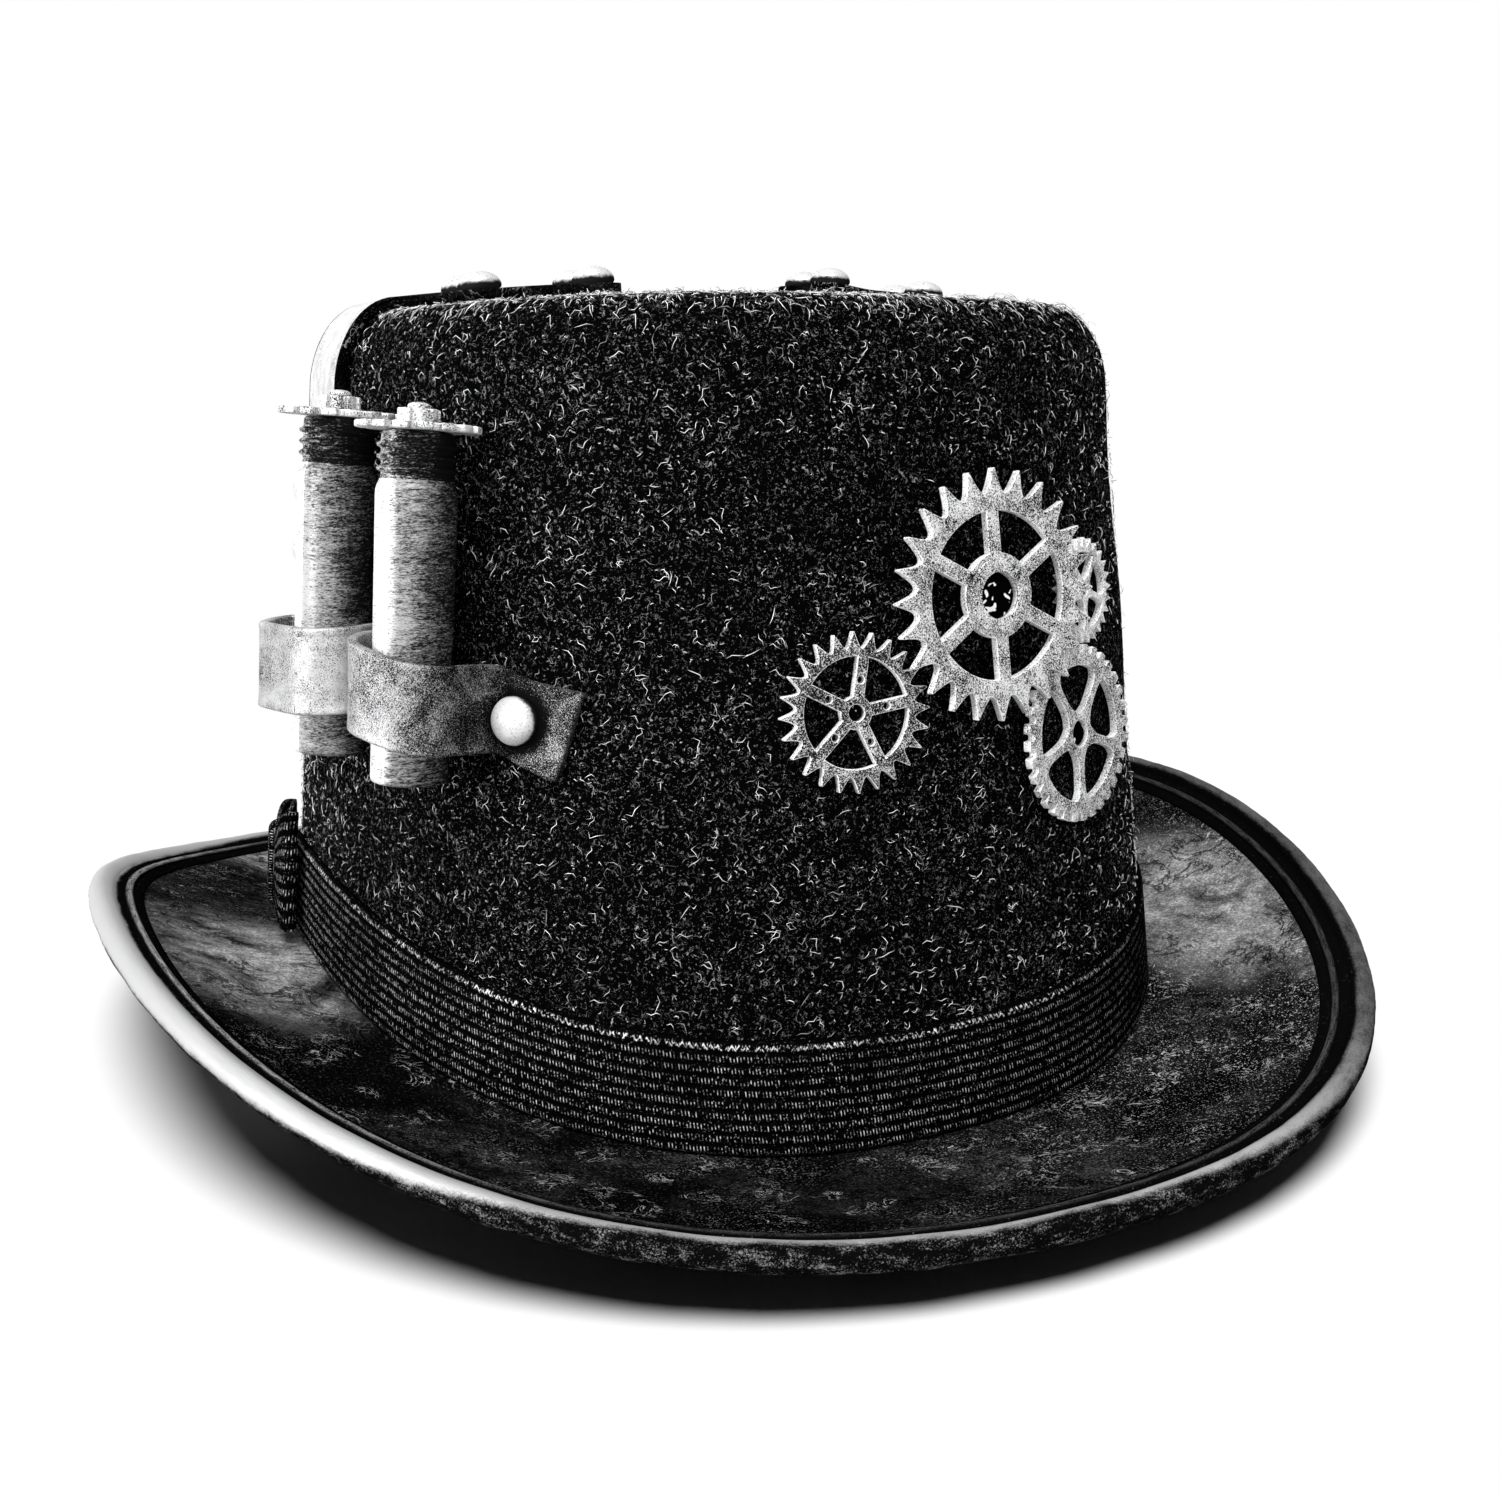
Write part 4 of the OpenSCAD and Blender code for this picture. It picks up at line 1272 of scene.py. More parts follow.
def hair_mesh(
    name: str,
    paths: Array,
    radius: float,
    finishes: Sequence[bpy.types.Material],
    pick: Array,
) -> bpy.types.Object:
    """Makes hairs from their paths.

    Args:
        name: the piece's name.
        paths: hairs by joints by 3, in millimetres.
        radius: the hairs' radius.
        finishes: the hairs' materials.
        pick: the number of each hair's material.

    Returns:
        The object: each hair is a triangle carried along its path, drawn in at its ends.
    """
    count, joints = paths.shape[:2]
    step = np.gradient(paths, axis=1)
    step /= np.maximum(np.linalg.norm(step, axis=2, keepdims=True), 1e-9)
    helper = np.array([0.31, 0.17, 0.93])
    side = np.cross(step, helper)
    side /= np.maximum(np.linalg.norm(side, axis=2, keepdims=True), 1e-9)
    other = np.cross(step, side)
    thick = radius * np.where(np.isin(np.arange(joints), [0, joints - 1]), 0.15, 1.0)
    corner = np.arange(3) * FULL_TURN / 3
    ring = (
        paths[:, :, None]
        + thick[None, :, None, None] * np.cos(corner)[None, None, :, None] * side[:, :, None]
        + thick[None, :, None, None] * np.sin(corner)[None, None, :, None] * other[:, :, None]
    )
    i = np.arange(joints - 1)[:, None] * 3
    j = np.arange(3)[None, :]
    j2 = (j + 1) % 3
    quads = np.stack([i + j, i + j2, i + 3 + j2, i + 3 + j], -1).reshape(-1, 4)
    shift = (np.arange(count) * joints * 3)[:, None, None]
    quads = (quads[None] + shift).reshape(-1, 4)
    last = (joints - 1) * 3
    ends = (np.array([[2, 1, 0], [last, last + 1, last + 2]])[None] + shift).reshape(-1, 3)
    mesh = new_mesh(
        name,
        ring.reshape(-1, 3),
        np.concatenate([quads.ravel(), ends.ravel()]),
        np.repeat([4, 3], [len(quads), len(ends)]),
        np.concatenate([np.repeat(pick, (joints - 1) * 3), np.repeat(pick, 2)]),
        finishes,
    )
    mesh.update(calc_edges=True)
    mesh.shade_smooth()
    return add_object(name, mesh)


# ---------------------------------------------------------------------------------------
# Brim
# ---------------------------------------------------------------------------------------


@dataclass
class Brim:
    """The curled brim, its rolled binding and the wire inside that."""

    form: HatForm
    wire: bpy.types.Object
    columns: int = 360
    rows: int = 44
    wire_r: float = 1.2
    fold_w: float = 7.6
    fold_t: float = 0.6
    rib_w: float = 1.7
    rib_h: float = 0.7
    under_w: float = 5.4
    fold_seat: float = 0.12
    uneven: float = 0.28
    seed: int = 23

    def _share(self, az: Array, inward: Array) -> Array:
        """Share of the brim's width at a distance in from the bead's centre."""
        f = self.form
        return 1 - inward / (f.bead(az)[..., 0] - f.brim_mid(az, np.zeros_like(az))[..., 0])

    def build_board(self) -> None:
        """Builds the brim as one section swept round: top, raw edge, underside, root."""
        f = self.form
        az = turns(self.columns)[None, :]
        end = self._share(az, np.full_like(az, self.wire_r + f.seat))
        s = np.linspace(0, 1, self.rows)[:, None] * end
        mid = f.brim_mid(az, s)
        _, up = f.brim_frame(az, s)
        x, y = mid[..., 0] * np.cos(az), mid[..., 0] * np.sin(az)
        soft = smooth_step(s / 0.2) * smooth_step((self._share(az, 9.0 + 0 * az) - s) / 0.15)
        lump = self.uneven * ripple(x, y, 30.0, self.seed) * soft
        lump = lump + 0.1 * ripple(x, y, 6.0, self.seed + 1) * soft
        half = f.brim_t / 2
        top = mid + up * (half + lump)[..., None]
        under = mid - up * (half - 0.5 * lump)[..., None]
        root_top = f.foot_z(az)
        root_low = root_top - f.brim_t
        top[0] = np.stack([f.wall_r(az, root_top) + f.seat, root_top], -1)[0]
        under[0] = np.stack([f.wall_r(az, root_low) + f.seat, root_low], -1)[0]
        section = np.concatenate([top, under[::-1]])
        piece = Surface().grid(
            swing(az, section), wrap_rows=True, wrap_cols=True
        ).build("curled_brim", [WornLeatherFinish().material()])
        settle(piece, Body.HAT, ["brim"])

    def _binding_section(self) -> tuple[Array, Array]:
        """The binding's closed section about the bead, and its map's value at each point."""
        f = self.form
        lip = f.brim_t / 2 + self.fold_seat
        rib = np.linspace(math.pi, 0, 9)[:, None]
        level = lip + self.fold_t * 0.62
        fold = np.array([[-self.fold_w, lip + 0.1], [-self.fold_w + 0.2, level], [-5.6, level]])
        rib_points = np.concatenate(
            [-4.5 + self.rib_w / 2 * np.cos(rib), level + self.rib_h * np.sin(rib)], axis=1
        )
        groove = np.array([[-3.5, level], [-2.9, level - 0.05]])
        arc = np.radians(np.linspace(140, -135, 34))[:, None]
        bead = f.bead_r * np.concatenate([np.cos(arc), np.sin(arc)], axis=1)
        under = np.array(
            [
                [-2.6, -lip - self.fold_t],
                [-self.under_w, -lip - self.fold_t],
                [-self.under_w - 0.2, -lip - self.fold_t / 2],
                [-self.under_w, -lip],
            ]
        )
        channel_r = self.wire_r + 2 * f.seat
        turn = np.radians(np.linspace(-90, 90, 9))[:, None]
        channel = np.concatenate([channel_r * np.cos(turn), lip * np.sin(turn)], axis=1)
        inner = np.array([[-self.fold_w, lip]])
        parts = [fold, rib_points, groove, bead, under, channel, inner]
        spans = [(-3.0, -2.1), (-2.0, -1.0), (-0.9, -0.1), (0.0, 1.0)]
        spans += [(1.1, 1.5), (1.6, 1.8), (2.0, 2.0)]
        marks = [np.linspace(*span, len(part)) for span, part in zip(spans, parts)]
        return np.concatenate(parts), np.concatenate(marks)

    def build_binding(self) -> None:
        """Builds the binding: its section set at the bead of each column."""
        f = self.form
        columns = self.columns * 2
        az = turns(columns)[None, :]
        section, marks = self._binding_section()
        u, v = section[:, :1], section[:, 1:]
        share = self._share(az, np.maximum(-u, 0))
        along, up = f.brim_frame(az, share)
        centre = f.brim_mid(az, share)
        outward = np.clip((u + 2.0) / 3.0, 0, 1)
        wobble = ripple(az * 140.0, np.zeros_like(az), 17.0, self.seed + 2)
        nick = ripple(az * 140.0 + 0 * u, v * 3, 3.2, self.seed + 3)
        grow = 1 + outward * (0.022 * wobble + 0.016 * nick - 0.03)
        rise = 1 + outward * (0.04 * wobble - 0.02)
        reach = (np.maximum(u, 0) * grow)[..., None]
        flat = centre + along * reach + up * (v * rise)[..., None]
        piece = Surface().grid(
            swing(az, flat), wrap_rows=True, wrap_cols=True, across=marks
        ).build("rolled_binding", [BindingFinish().material()])
        settle(piece, Body.HAT, ["brim_binding"])

    def build(self) -> None:
        """Builds the brim's pieces in order."""
        self.build_board()
        self.build_binding()
        dress(self.wire, WireFinish().material())


# ---------------------------------------------------------------------------------------
# Hatband and bow
# ---------------------------------------------------------------------------------------


@dataclass
class HatBand:
    """The ribbed elastic round the crown's foot, with its flat bow and knot."""

    form: HatForm
    columns: int = 720
    band_h: float = 20.6
    band_t: float = 1.3
    ribs: int = 10
    rib_depth: float = 0.34
    bow_az: float = math.radians(163.0)
    bow_half_length: float = 22.0
    bow_h: float = 26.0
    bow_waist_h: float = 15.0
    bow_tilt: float = math.radians(10.0)
    ribbon_t: float = 0.9
    bow_bulge: float = 1.1
    knot_w: float = 9.0
    knot_t: float = 0.8
    rows_per_rib: int = 7
    lift: float = 0.3
    knot_room: float = 0.5

    @property
    def bow_z(self) -> float:
        """Height of the bow's middle."""
        return float(self.form.foot_z(np.array(self.bow_az))) + self.band_h / 2 + 4

    @property
    def bow_mid(self) -> float:
        """Distance from the felt to the bow's middle."""
        knot_back = self.form.seat + self.band_t + 0.15
        return knot_back + self.knot_t + self.knot_room + self.ribbon_t / 2 + self.bow_bulge

    def build_band(self, material: bpy.types.Material) -> None:
        """Builds the band: its face stands off as |cos| ribs across its height."""
        f = self.form
        az = turns(self.columns)[None, :]
        low = f.foot_z(az) + self.lift
        rows = self.ribs * self.rows_per_rib + 1
        share = np.linspace(0, 1, rows)[:, None]
        arch = np.abs(np.sin(math.pi * share * self.ribs)) ** 0.7
        edge = np.minimum(1, np.minimum(share, 1 - share) * rows / 3) ** 0.5
        sag = 0.12 * ripple(az * 95.0, np.zeros_like(az), 40.0, 31)
        thick = (self.band_t - self.rib_depth + self.rib_depth * arch) * (0.45 + 0.55 * edge)
        z = low + share * self.band_h + sag * share
        front = f.wall_r(az, z) + f.seat + thick
        back = f.wall_r(az, z) + f.seat
        r = np.concatenate([front, back[::-1][:: self.rows_per_rib]])
        zz = np.concatenate([z, z[::-1][:: self.rows_per_rib]])
        rings = around(az, r, zz)
        behind = np.full(self.ribs + 1, self.band_h + 2)
        marks = np.concatenate([share[:, 0] * self.band_h, behind])
        piece = Surface().grid(rings, wrap_rows=True, wrap_cols=True, across=marks).build(
            "elastic_band", [material]
        )
        settle(piece, Body.HAT, ["hatband"])
        self.band_h * MM
        girth(rings[rows // 2]) * MM

    def _on_bow(self, u: Array, v: Array, z: Array) -> Array:
        """A place on the bow: u along the band, v off the felt, at a height."""
        r = float(self.form.wall_r(np.array(self.bow_az), np.array(self.bow_z)))
        return self.form.wall(self.bow_az + u / r, z, v)

    def build_bow(self, material: bpy.types.Material) -> None:
        """Builds the bow: a flattened loop of ribbon, narrow at its waist, softly waved."""
        flat = self.bow_half_length - self.bow_bulge - self.ribbon_t / 2
        run = np.linspace(-1, 1, 41)[:-1]
        turn = np.radians(np.linspace(90, -90, 13))[:-1]
        pillow = 0.55 * np.abs(run) ** 0.8 * (1 - np.abs(run) ** 6)
        end = flat + self.bow_bulge * np.cos(turn)
        u = np.concatenate([run * flat, end, -run * flat, -end])
        v = np.concatenate(
            [
                self.bow_bulge + pillow,
                self.bow_bulge * np.sin(turn),
                -self.bow_bulge + 0 * run,
                -self.bow_bulge * np.sin(turn),
            ]
        )
        path = np.stack([u, v], -1)
        out = left_of(path, closed=True)
        flare = smooth_step(
            (np.abs(u) - self.knot_w / 2) / (self.bow_half_length - self.knot_w / 2)
        )
        half = (self.bow_waist_h + (self.bow_h - self.bow_waist_h) * flare) / 2
        across = np.linspace(1, -1, 25)
        rib = 0.12 * np.abs(np.sin(math.pi * across * 5))
        face = self.ribbon_t / 2
        offs = np.concatenate([face - 0.12 + rib, -face + 0 * across[::3]])
        levels = np.concatenate([across, across[::-1][::3]])
        p = path[None] + out[None] * offs[:, None, None]
        fold = 0.3 * np.sin(levels[:, None] * 5 + u[None] * 0.2)
        z = self.bow_z + path[None, :, 0] * math.tan(self.bow_tilt) + levels[:, None] * half[None]
        off = self.bow_mid + p[..., 1] + 0.4 * fold * (np.abs(u) > 6)
        points = self._on_bow(p[..., 0], off, z)
        marks = (1 - levels) / 2 * (self.band_h - 2.4) + 1.2
        piece = Surface().grid(points, wrap_rows=True, wrap_cols=True, across=marks).build(
            "elastic_bow", [material]
        )
        settle(piece, Body.HAT, ["hatband_bow"])
        (self.bow_h + self.bow_waist_h) / 2 * MM
        4 * self.bow_half_length * MM

    def build_knot(self, material: bpy.types.Material) -> None:
        """Builds the knot: a ribbon ring round the bow's waist, swelled at its middle."""
        depth = self.bow_bulge * 2 + self.ribbon_t + 2 * self.knot_room
        height = self.bow_waist_h + 4 * self.knot_room + 0.5
        corners = [
            (0.0, depth / 2),
            (height / 2, depth / 2),
            (height / 2, -depth / 2),
            (-height / 2, -depth / 2),
            (-height / 2, depth / 2),
            (0.0, depth / 2),
        ]
        path = rounded_profile(corners, 1.6, 6)[:-1]
        out = left_of(path, closed=True)
        across = np.linspace(-1, 1, 13)
        thick = np.concatenate([np.full(13, self.knot_t), np.full(13, -0.35)])
        place = np.concatenate([across, across[::-1]])
        swell = 0.3 * (1 - place**2)
        layer = thick + (thick > 0) * (swell - 0.25)
        p = path[None] + out[None] * layer[:, None, None]
        lift = np.broadcast_to(place[:, None] * self.knot_w / 2, p.shape[:2])
        c, s = math.cos(self.bow_tilt), math.sin(self.bow_tilt)
        x, y = lift, p[..., 0]
        flat = np.stack([x * c - y * s, x * s + y * c, p[..., 1]], -1)
        points = self.form.on_wall(flat, self.bow_az, self.bow_z, self.bow_mid)
        piece = Surface().grid(points, wrap_rows=True, wrap_cols=True).build(
            "bow_knot_ribbon", [material]
        )
        settle(piece, Body.HAT, ["bow_knot"])

    def build(self) -> None:
        """Builds the band, bow and knot."""
        material = ElasticFinish().material()
        self.build_band(material)
        self.build_bow(material)
        self.build_knot(material)


# ---------------------------------------------------------------------------------------
# Canisters and their strap
# ---------------------------------------------------------------------------------------


@dataclass(frozen=True)
class CanisterPlace:
    """Where one canister stands: its angle round the crown and its lift."""

    az: float
    lift: float
    body: Body


@dataclass
class Canisters:
    """Two capsules with cog plates and toothed finials, in a looped strap."""

    form: HatForm
    can_r: float = 6.95
    foot_r: float = 6.6
    can_h: float = 60.0
    neck_h: float = 8.2
    neck_r: float = 6.1
    can_z: float = 70.3
    cog_r: float = 10.6
    cog_t: float = 1.2
    cog_teeth: int = 16
    finial_h: float = 2.4
    finial_r: float = 3.6
    clearance: float = 0.7
    sling_w: float = 15.4
    sling_t: float = 1.8
    sling_z: float = 88.5
    sling_droop: float = 11.0
    sling_gap: float = 0.7
    sling_slack: float = 6.0
    front_slack: float = 1.8
    tilt: float = math.radians(1.7)
    rivet_rear: float = 183.9
    rivet_front: float = 226.2
    tail_step: float = 1.65
    tail_end: float = 232.0
    end_cut: float = 1.45
    droop_from: float = 208.0
    droop_over: float = 28.0
    # painted shade on the strap: its drooping tail, and a ring round each rivet
    shaded_tail_at: tuple[float, float] = (231.0, 79.0)
    shaded_tail: tuple[float, float] = (42.0, 0.15)
    shaded_rivet: tuple[float, float] = (6.8, 0.4)
    strap_seat: float = 0.2
    front: CanisterPlace = CanisterPlace(math.radians(216.6), 0.0, Body.CANISTER_FRONT)
    rear: CanisterPlace = CanisterPlace(math.radians(203.3), 2.3, Body.CANISTER_REAR)

    @property
    def standoff(self) -> float:
        """Distance from the felt to a canister's axis."""
        return self.cog_r + self.clearance

    def _set(self, points: Array, place: CanisterPlace) -> Array:
        """Moves points from a canister's own frame, Z up its axis, to its place."""
        lean, pivot = self.form.lean, self.sling_z - self.can_z
        r0 = float(self.form.wall_r(np.array(place.az), np.array(self.can_z))) + self.standoff
        rise = points[..., 2] + place.lift - pivot
        y = points[..., 1] * math.cos(self.tilt) + rise * math.sin(self.tilt)
        up = rise * math.cos(self.tilt) - points[..., 1] * math.sin(self.tilt) + pivot
        x = points[..., 0] * math.cos(lean) - up * math.sin(lean) + r0
        z = points[..., 0] * math.sin(lean) + up * math.cos(lean)
        c, s = math.cos(place.az), math.sin(place.az)
        return np.stack([x * c - y * s, x * s + y * c, z + self.can_z], -1)

    def _shell_profile(self) -> Array:
        """The capsule's half section: rounded foot, slow taper, shoulder, ringed neck."""
        shoulder = self.can_h - self.neck_h
        ring = 0.75
        rings: list[tuple[float, float]] = []
        for share in (0.16, 0.40, 0.64):
            level = shoulder + self.neck_h * share + 0.4
            rings += [
                (self.neck_r, level - 0.55),
                (self.neck_r + ring, level - 0.27),
                (self.neck_r + ring, level + 0.27),
                (self.neck_r, level + 0.55),
            ]
        corners = [
            (0.02, 0.0),
            (self.foot_r, 0.0),
            (self.foot_r + 0.02, 2.0),
            (self.can_r, shoulder - 1.6),
            (self.neck_r, shoulder + 0.3),
            *rings,
            (self.neck_r, self.can_h - 0.1),
            (0.02, self.can_h - 0.05),
        ]
        return rounded_profile(corners, 1.0, 5)

    def build_canister(self, place: CanisterPlace, word: str) -> None:
        """Builds one capsule with its cog plate and finial."""
        profile = self._shell_profile()
        neck = (profile[:-1, 1] > self.can_h - self.neck_h - 0.2).astype(int)
        rings = self._set(lathe(profile, 96), place)
        piece = Surface().grid(rings, wrap_cols=True, caps=True, slot=neck).build(
            f"capsule_{word}",
            [
                BrushedCanFinish(f"brushed_shell_{word}").material(),
                BrushedCanFinish(f"dark_neck_{word}", silver=0.5, cover=0.38).material(),
            ],
        )
        node = f"canister_{word}"
        settle(piece, place.body, [f"{node}_body"])
        trim = AntiqueMetalFinish(f"cog_silver_{word}", cover=0.55).material()
        base = self.can_h + self.form.seat
        ring_r = self.cog_r * 0.56
        holes = [
            circle_loop(1.3, 20, (ring_r * math.cos(a), ring_r * math.sin(a))) for a in turns(6)
        ]
        plate = flat_part(
            f"cog_plate_{word}",
            block_teeth_loop(self.cog_r, self.cog_teeth, 2.2, 0.36),
            holes,
            self.cog_t,
            0.28,
            lambda p: self._set(p + np.array([0, 0, base]), place),
            [trim],
        )
        settle(plate, place.body, [f"{node}_cog"])
        top = base + self.cog_t + self.form.seat
        crown = flat_part(
            f"finial_{word}",
            block_teeth_loop(self.finial_r, 8, 0.9, 0.4),
            [],
            self.finial_h,
            0.25,
            lambda p: self._set(p + np.array([0, 0, top]), place),
            [trim],
        )
        knob = rounded_profile(
            [(0.02, 0.0), (2.0, 0.0), (1.9, 0.7), (1.0, 1.05), (0.02, 1.1)], 0.4, 3
        )
        knob_rings = self._set(lathe(knob, 32) + np.array([0, 0, top + self.finial_h]), place)
        button = Surface().grid(knob_rings, wrap_cols=True, caps=True).build(
            f"finial_button_{word}", [trim]
        )
        settle(crown, place.body, [f"{node}_finial"])
        settle(button, place.body)

    # The strap ------------------------------------------------------------------------

    def _sling_height(self, az: Array) -> Array:
        """Height of the strap's middle: it droops by smooth_step past the canisters."""
        share = (np.degrees(az) - self.droop_from) / self.droop_over
        return self.sling_z - self.sling_droop * smooth_step(share)

    def _centre(self, az: float, along: float = 0.0) -> Array:
        """A canister's centre in plan at the strap's height, moved along the wall."""
        p = self.form.wall(np.array(az), self._sling_height(np.array(az)), self.standoff)
        return np.array([p[0] - along * math.sin(az), p[1] + along * math.cos(az)])

    def _arc(self, az: float, degrees: Sequence[float], along: float = 0.0) -> Array:
        """Points of the strap's middle round a canister."""
        r = self.can_r + self.sling_gap + self.sling_t / 2
        a = np.radians(np.asarray(degrees, float))
        c, s = math.cos(az), math.sin(az)
        x = np.sin(a) * c - np.cos(a) * s
        y = np.sin(a) * s + np.cos(a) * c
        return self._centre(az, along) + r * np.stack([x, y], -1)

    def _flat(self, degrees: Sequence[float]) -> Array:
        """Points of the strap's middle where it lies on the felt."""
        az = np.radians(np.asarray(degrees, float))
        off = self.strap_seat + self.sling_t / 2
        return self.form.wall(az, self._sling_height(az), off)[..., :2]

    def _sling_path(self) -> Array:
        """The strap's middle line in plan: tail, slack loop, dip, snug loop, tail."""
        dip = math.degrees(self.front.az + self.rear.az) / 2
        tail = self.rivet_front + np.array([-1.75, 0, 1, 2]) * self.tail_step
        coarse = np.concatenate(
            [
                self._flat([180.5, *(self.rivet_rear + np.arange(-1, 2) * self.tail_step), 187.2]),
                self._arc(self.rear.az, [205, 185, 162, 138, 114], -self.sling_slack),
                self._arc(self.rear.az, [90, 68, 46, 24, 2, -20]),
                self._flat([dip - 0.5, dip + 0.5]),
                self._arc(self.front.az, [200, 178, 156, 134, 112], -self.front_slack),
                self._arc(self.front.az, [90, 68, 46, 26, 8]),
                self._flat([*tail, self.tail_end]),
            ]
        )
        return smooth_path(coarse, 260)

    def build_sling(self) -> None:
        """Builds the strap: a rounded section carried along its path, its ends cut."""
        path = self._sling_path()
        out = -left_of(path)
        half_w, half_t, round_r = self.sling_w / 2, self.sling_t / 2, 0.55
        section = rounded_profile(
            [
                (0, half_t - 0.12),
                (half_w - 1.5, half_t - 0.12),
                (half_w - 1.0, half_t),
                (half_w, half_t),
                (half_w, -half_t),
                (-half_w, -half_t),
                (-half_w, half_t),
                (-half_w + 1.0, half_t),
                (-half_w + 1.5, half_t - 0.12),
                (0, half_t - 0.12),
            ],
            round_r,
            4,
        )[:-1]
        rise = section[:, 0][:, None]
        side = section[:, 1][:, None, None] * out[None]
        q = path[None] + side
        az = np.arctan2(path[:, 1], path[:, 0]) % FULL_TURN
        deg = np.degrees(az)
        past = (deg - self.rivet_front) / (self.tail_end - self.rivet_front)
        cut = np.radians(self.end_cut) * smooth_step(past) * rise / half_w
        level = self._sling_height(az)[None] + rise
        r = np.linalg.norm(q, axis=-1) - self.form.taper * rise
        turn = np.arctan2(q[..., 1], q[..., 0]) + cut
        points = around(turn, r, level).transpose(1, 0, 2)
        # painted shade: the strap darkens at its tail and round its rivets
        turned, height = self.shaded_tail_at
        dark = [(*self.form.wall(np.radians(turned), height, 2.0), *self.shaded_tail)]
        for degrees in (self.rivet_rear, self.rivet_front):
            az = math.radians(degrees)
            level = float(self._sling_height(np.array(az)))
            spot = self.form.wall(np.array(az), np.array(level), 2.0)
            dark.append((*spot, *self.shaded_rivet))
        paint = SilverPaintFinish(
            "silvered_sling", silver=0.5, speckle_size=0.22, cover=0.55, painted_shade_places=tuple(dark)
        ).material()
        piece = Surface().grid(points, wrap_cols=True, caps=True).build("looped_sling", [paint])
        settle(piece, Body.HAT, ["canister_strap"])

    def build_rivets(self) -> None:
        """Builds the two rivets as domes, their low edges painted dark as painted shade."""
        stud = Studs()
        off = self.strap_seat + self.sling_t + 2 * self.form.seat
        surface = Surface()
        for degrees in (self.rivet_rear, self.rivet_front):
            az = math.radians(degrees)
            z = float(self._sling_height(np.array(az)))
            surface.grid(
                self.form.on_wall(stud.rings(self.sling_t), az, z, off),
                wrap_cols=True,
                caps=True,
                across=stud.marks(),
            )
        piece = surface.build("sling_rivets", [PolishedStudFinish("polished_rivet").material()])
        settle(piece, Body.HAT, ["canister_strap_rivets"])

    def build(self) -> None:
        """Builds both canisters, the strap and its rivets."""
        self.build_canister(self.front, "front")
        self.build_canister(self.rear, "rear")
        self.build_sling()
        self.build_rivets()


def smooth_path(points: Array, count: int) -> Array:
    """A finer path through points by Catmull-Rom spans, evenly spaced by length.

    Args:
        points: the coarse path, of any dimension.
        count: how many points to return.

    Returns:
        Points at equal steps along the curve.
    """
    p = np.concatenate([2 * points[:1] - points[1:2], points, 2 * points[-1:] - points[-2:-1]])
    t = np.linspace(0, 1, 13)[:-1][:, None, None]
    a, b, c, d = p[:-3], p[1:-2], p[2:-1], p[3:]
    fine = 0.5 * (
        2 * b + (c - a) * t + (2 * a - 5 * b + 4 * c - d) * t**2 + (3 * b - a - 3 * c + d) * t**3
    )
    fine = np.concatenate([fine.transpose(1, 0, 2).reshape(-1, points.shape[1]), points[-1:]])
    run = lengths(fine)
    at = np.linspace(0, run[-1], count)
    return np.stack([np.interp(at, run, fine[:, k]) for k in range(fine.shape[1])], -1)


# ---------------------------------------------------------------------------------------
# Studs and tip straps
# ---------------------------------------------------------------------------------------


@dataclass
class Studs:
    """The mushroom-headed stud that the straps share."""

    head_r: float = 4.4
    head_h: float = 3.6
    shank_r: float = 1.5
    rim_h: float = 0.7

    def rings(self, strap_t: float) -> Array:
        """Rings of one stud, its head on Z = 0 and its shank down through the strap."""
        a = np.radians(np.linspace(0, 88, 12))
        rise = self.rim_h + (self.head_h - self.rim_h) * np.sin(a)
        dome = np.stack([self.head_r * np.cos(a), rise], axis=-1)
        start = np.array(
            [
                [0.02, -strap_t],
                [self.shank_r, -strap_t],
                [self.shank_r, 0.0],
                [self.head_r - 0.5, 0.0],
                [self.head_r - 0.1, 0.3],
            ]
        )
        return lathe(np.concatenate([start, dome]), 40)

    def marks(self) -> Array:
        """A map value for each ring: 0 up to the head's rim, then its height over the dome."""
        share = np.linspace(0, 1, 12)
        return np.concatenate([np.zeros(5), self.rim_h + (self.head_h - self.rim_h) * share])


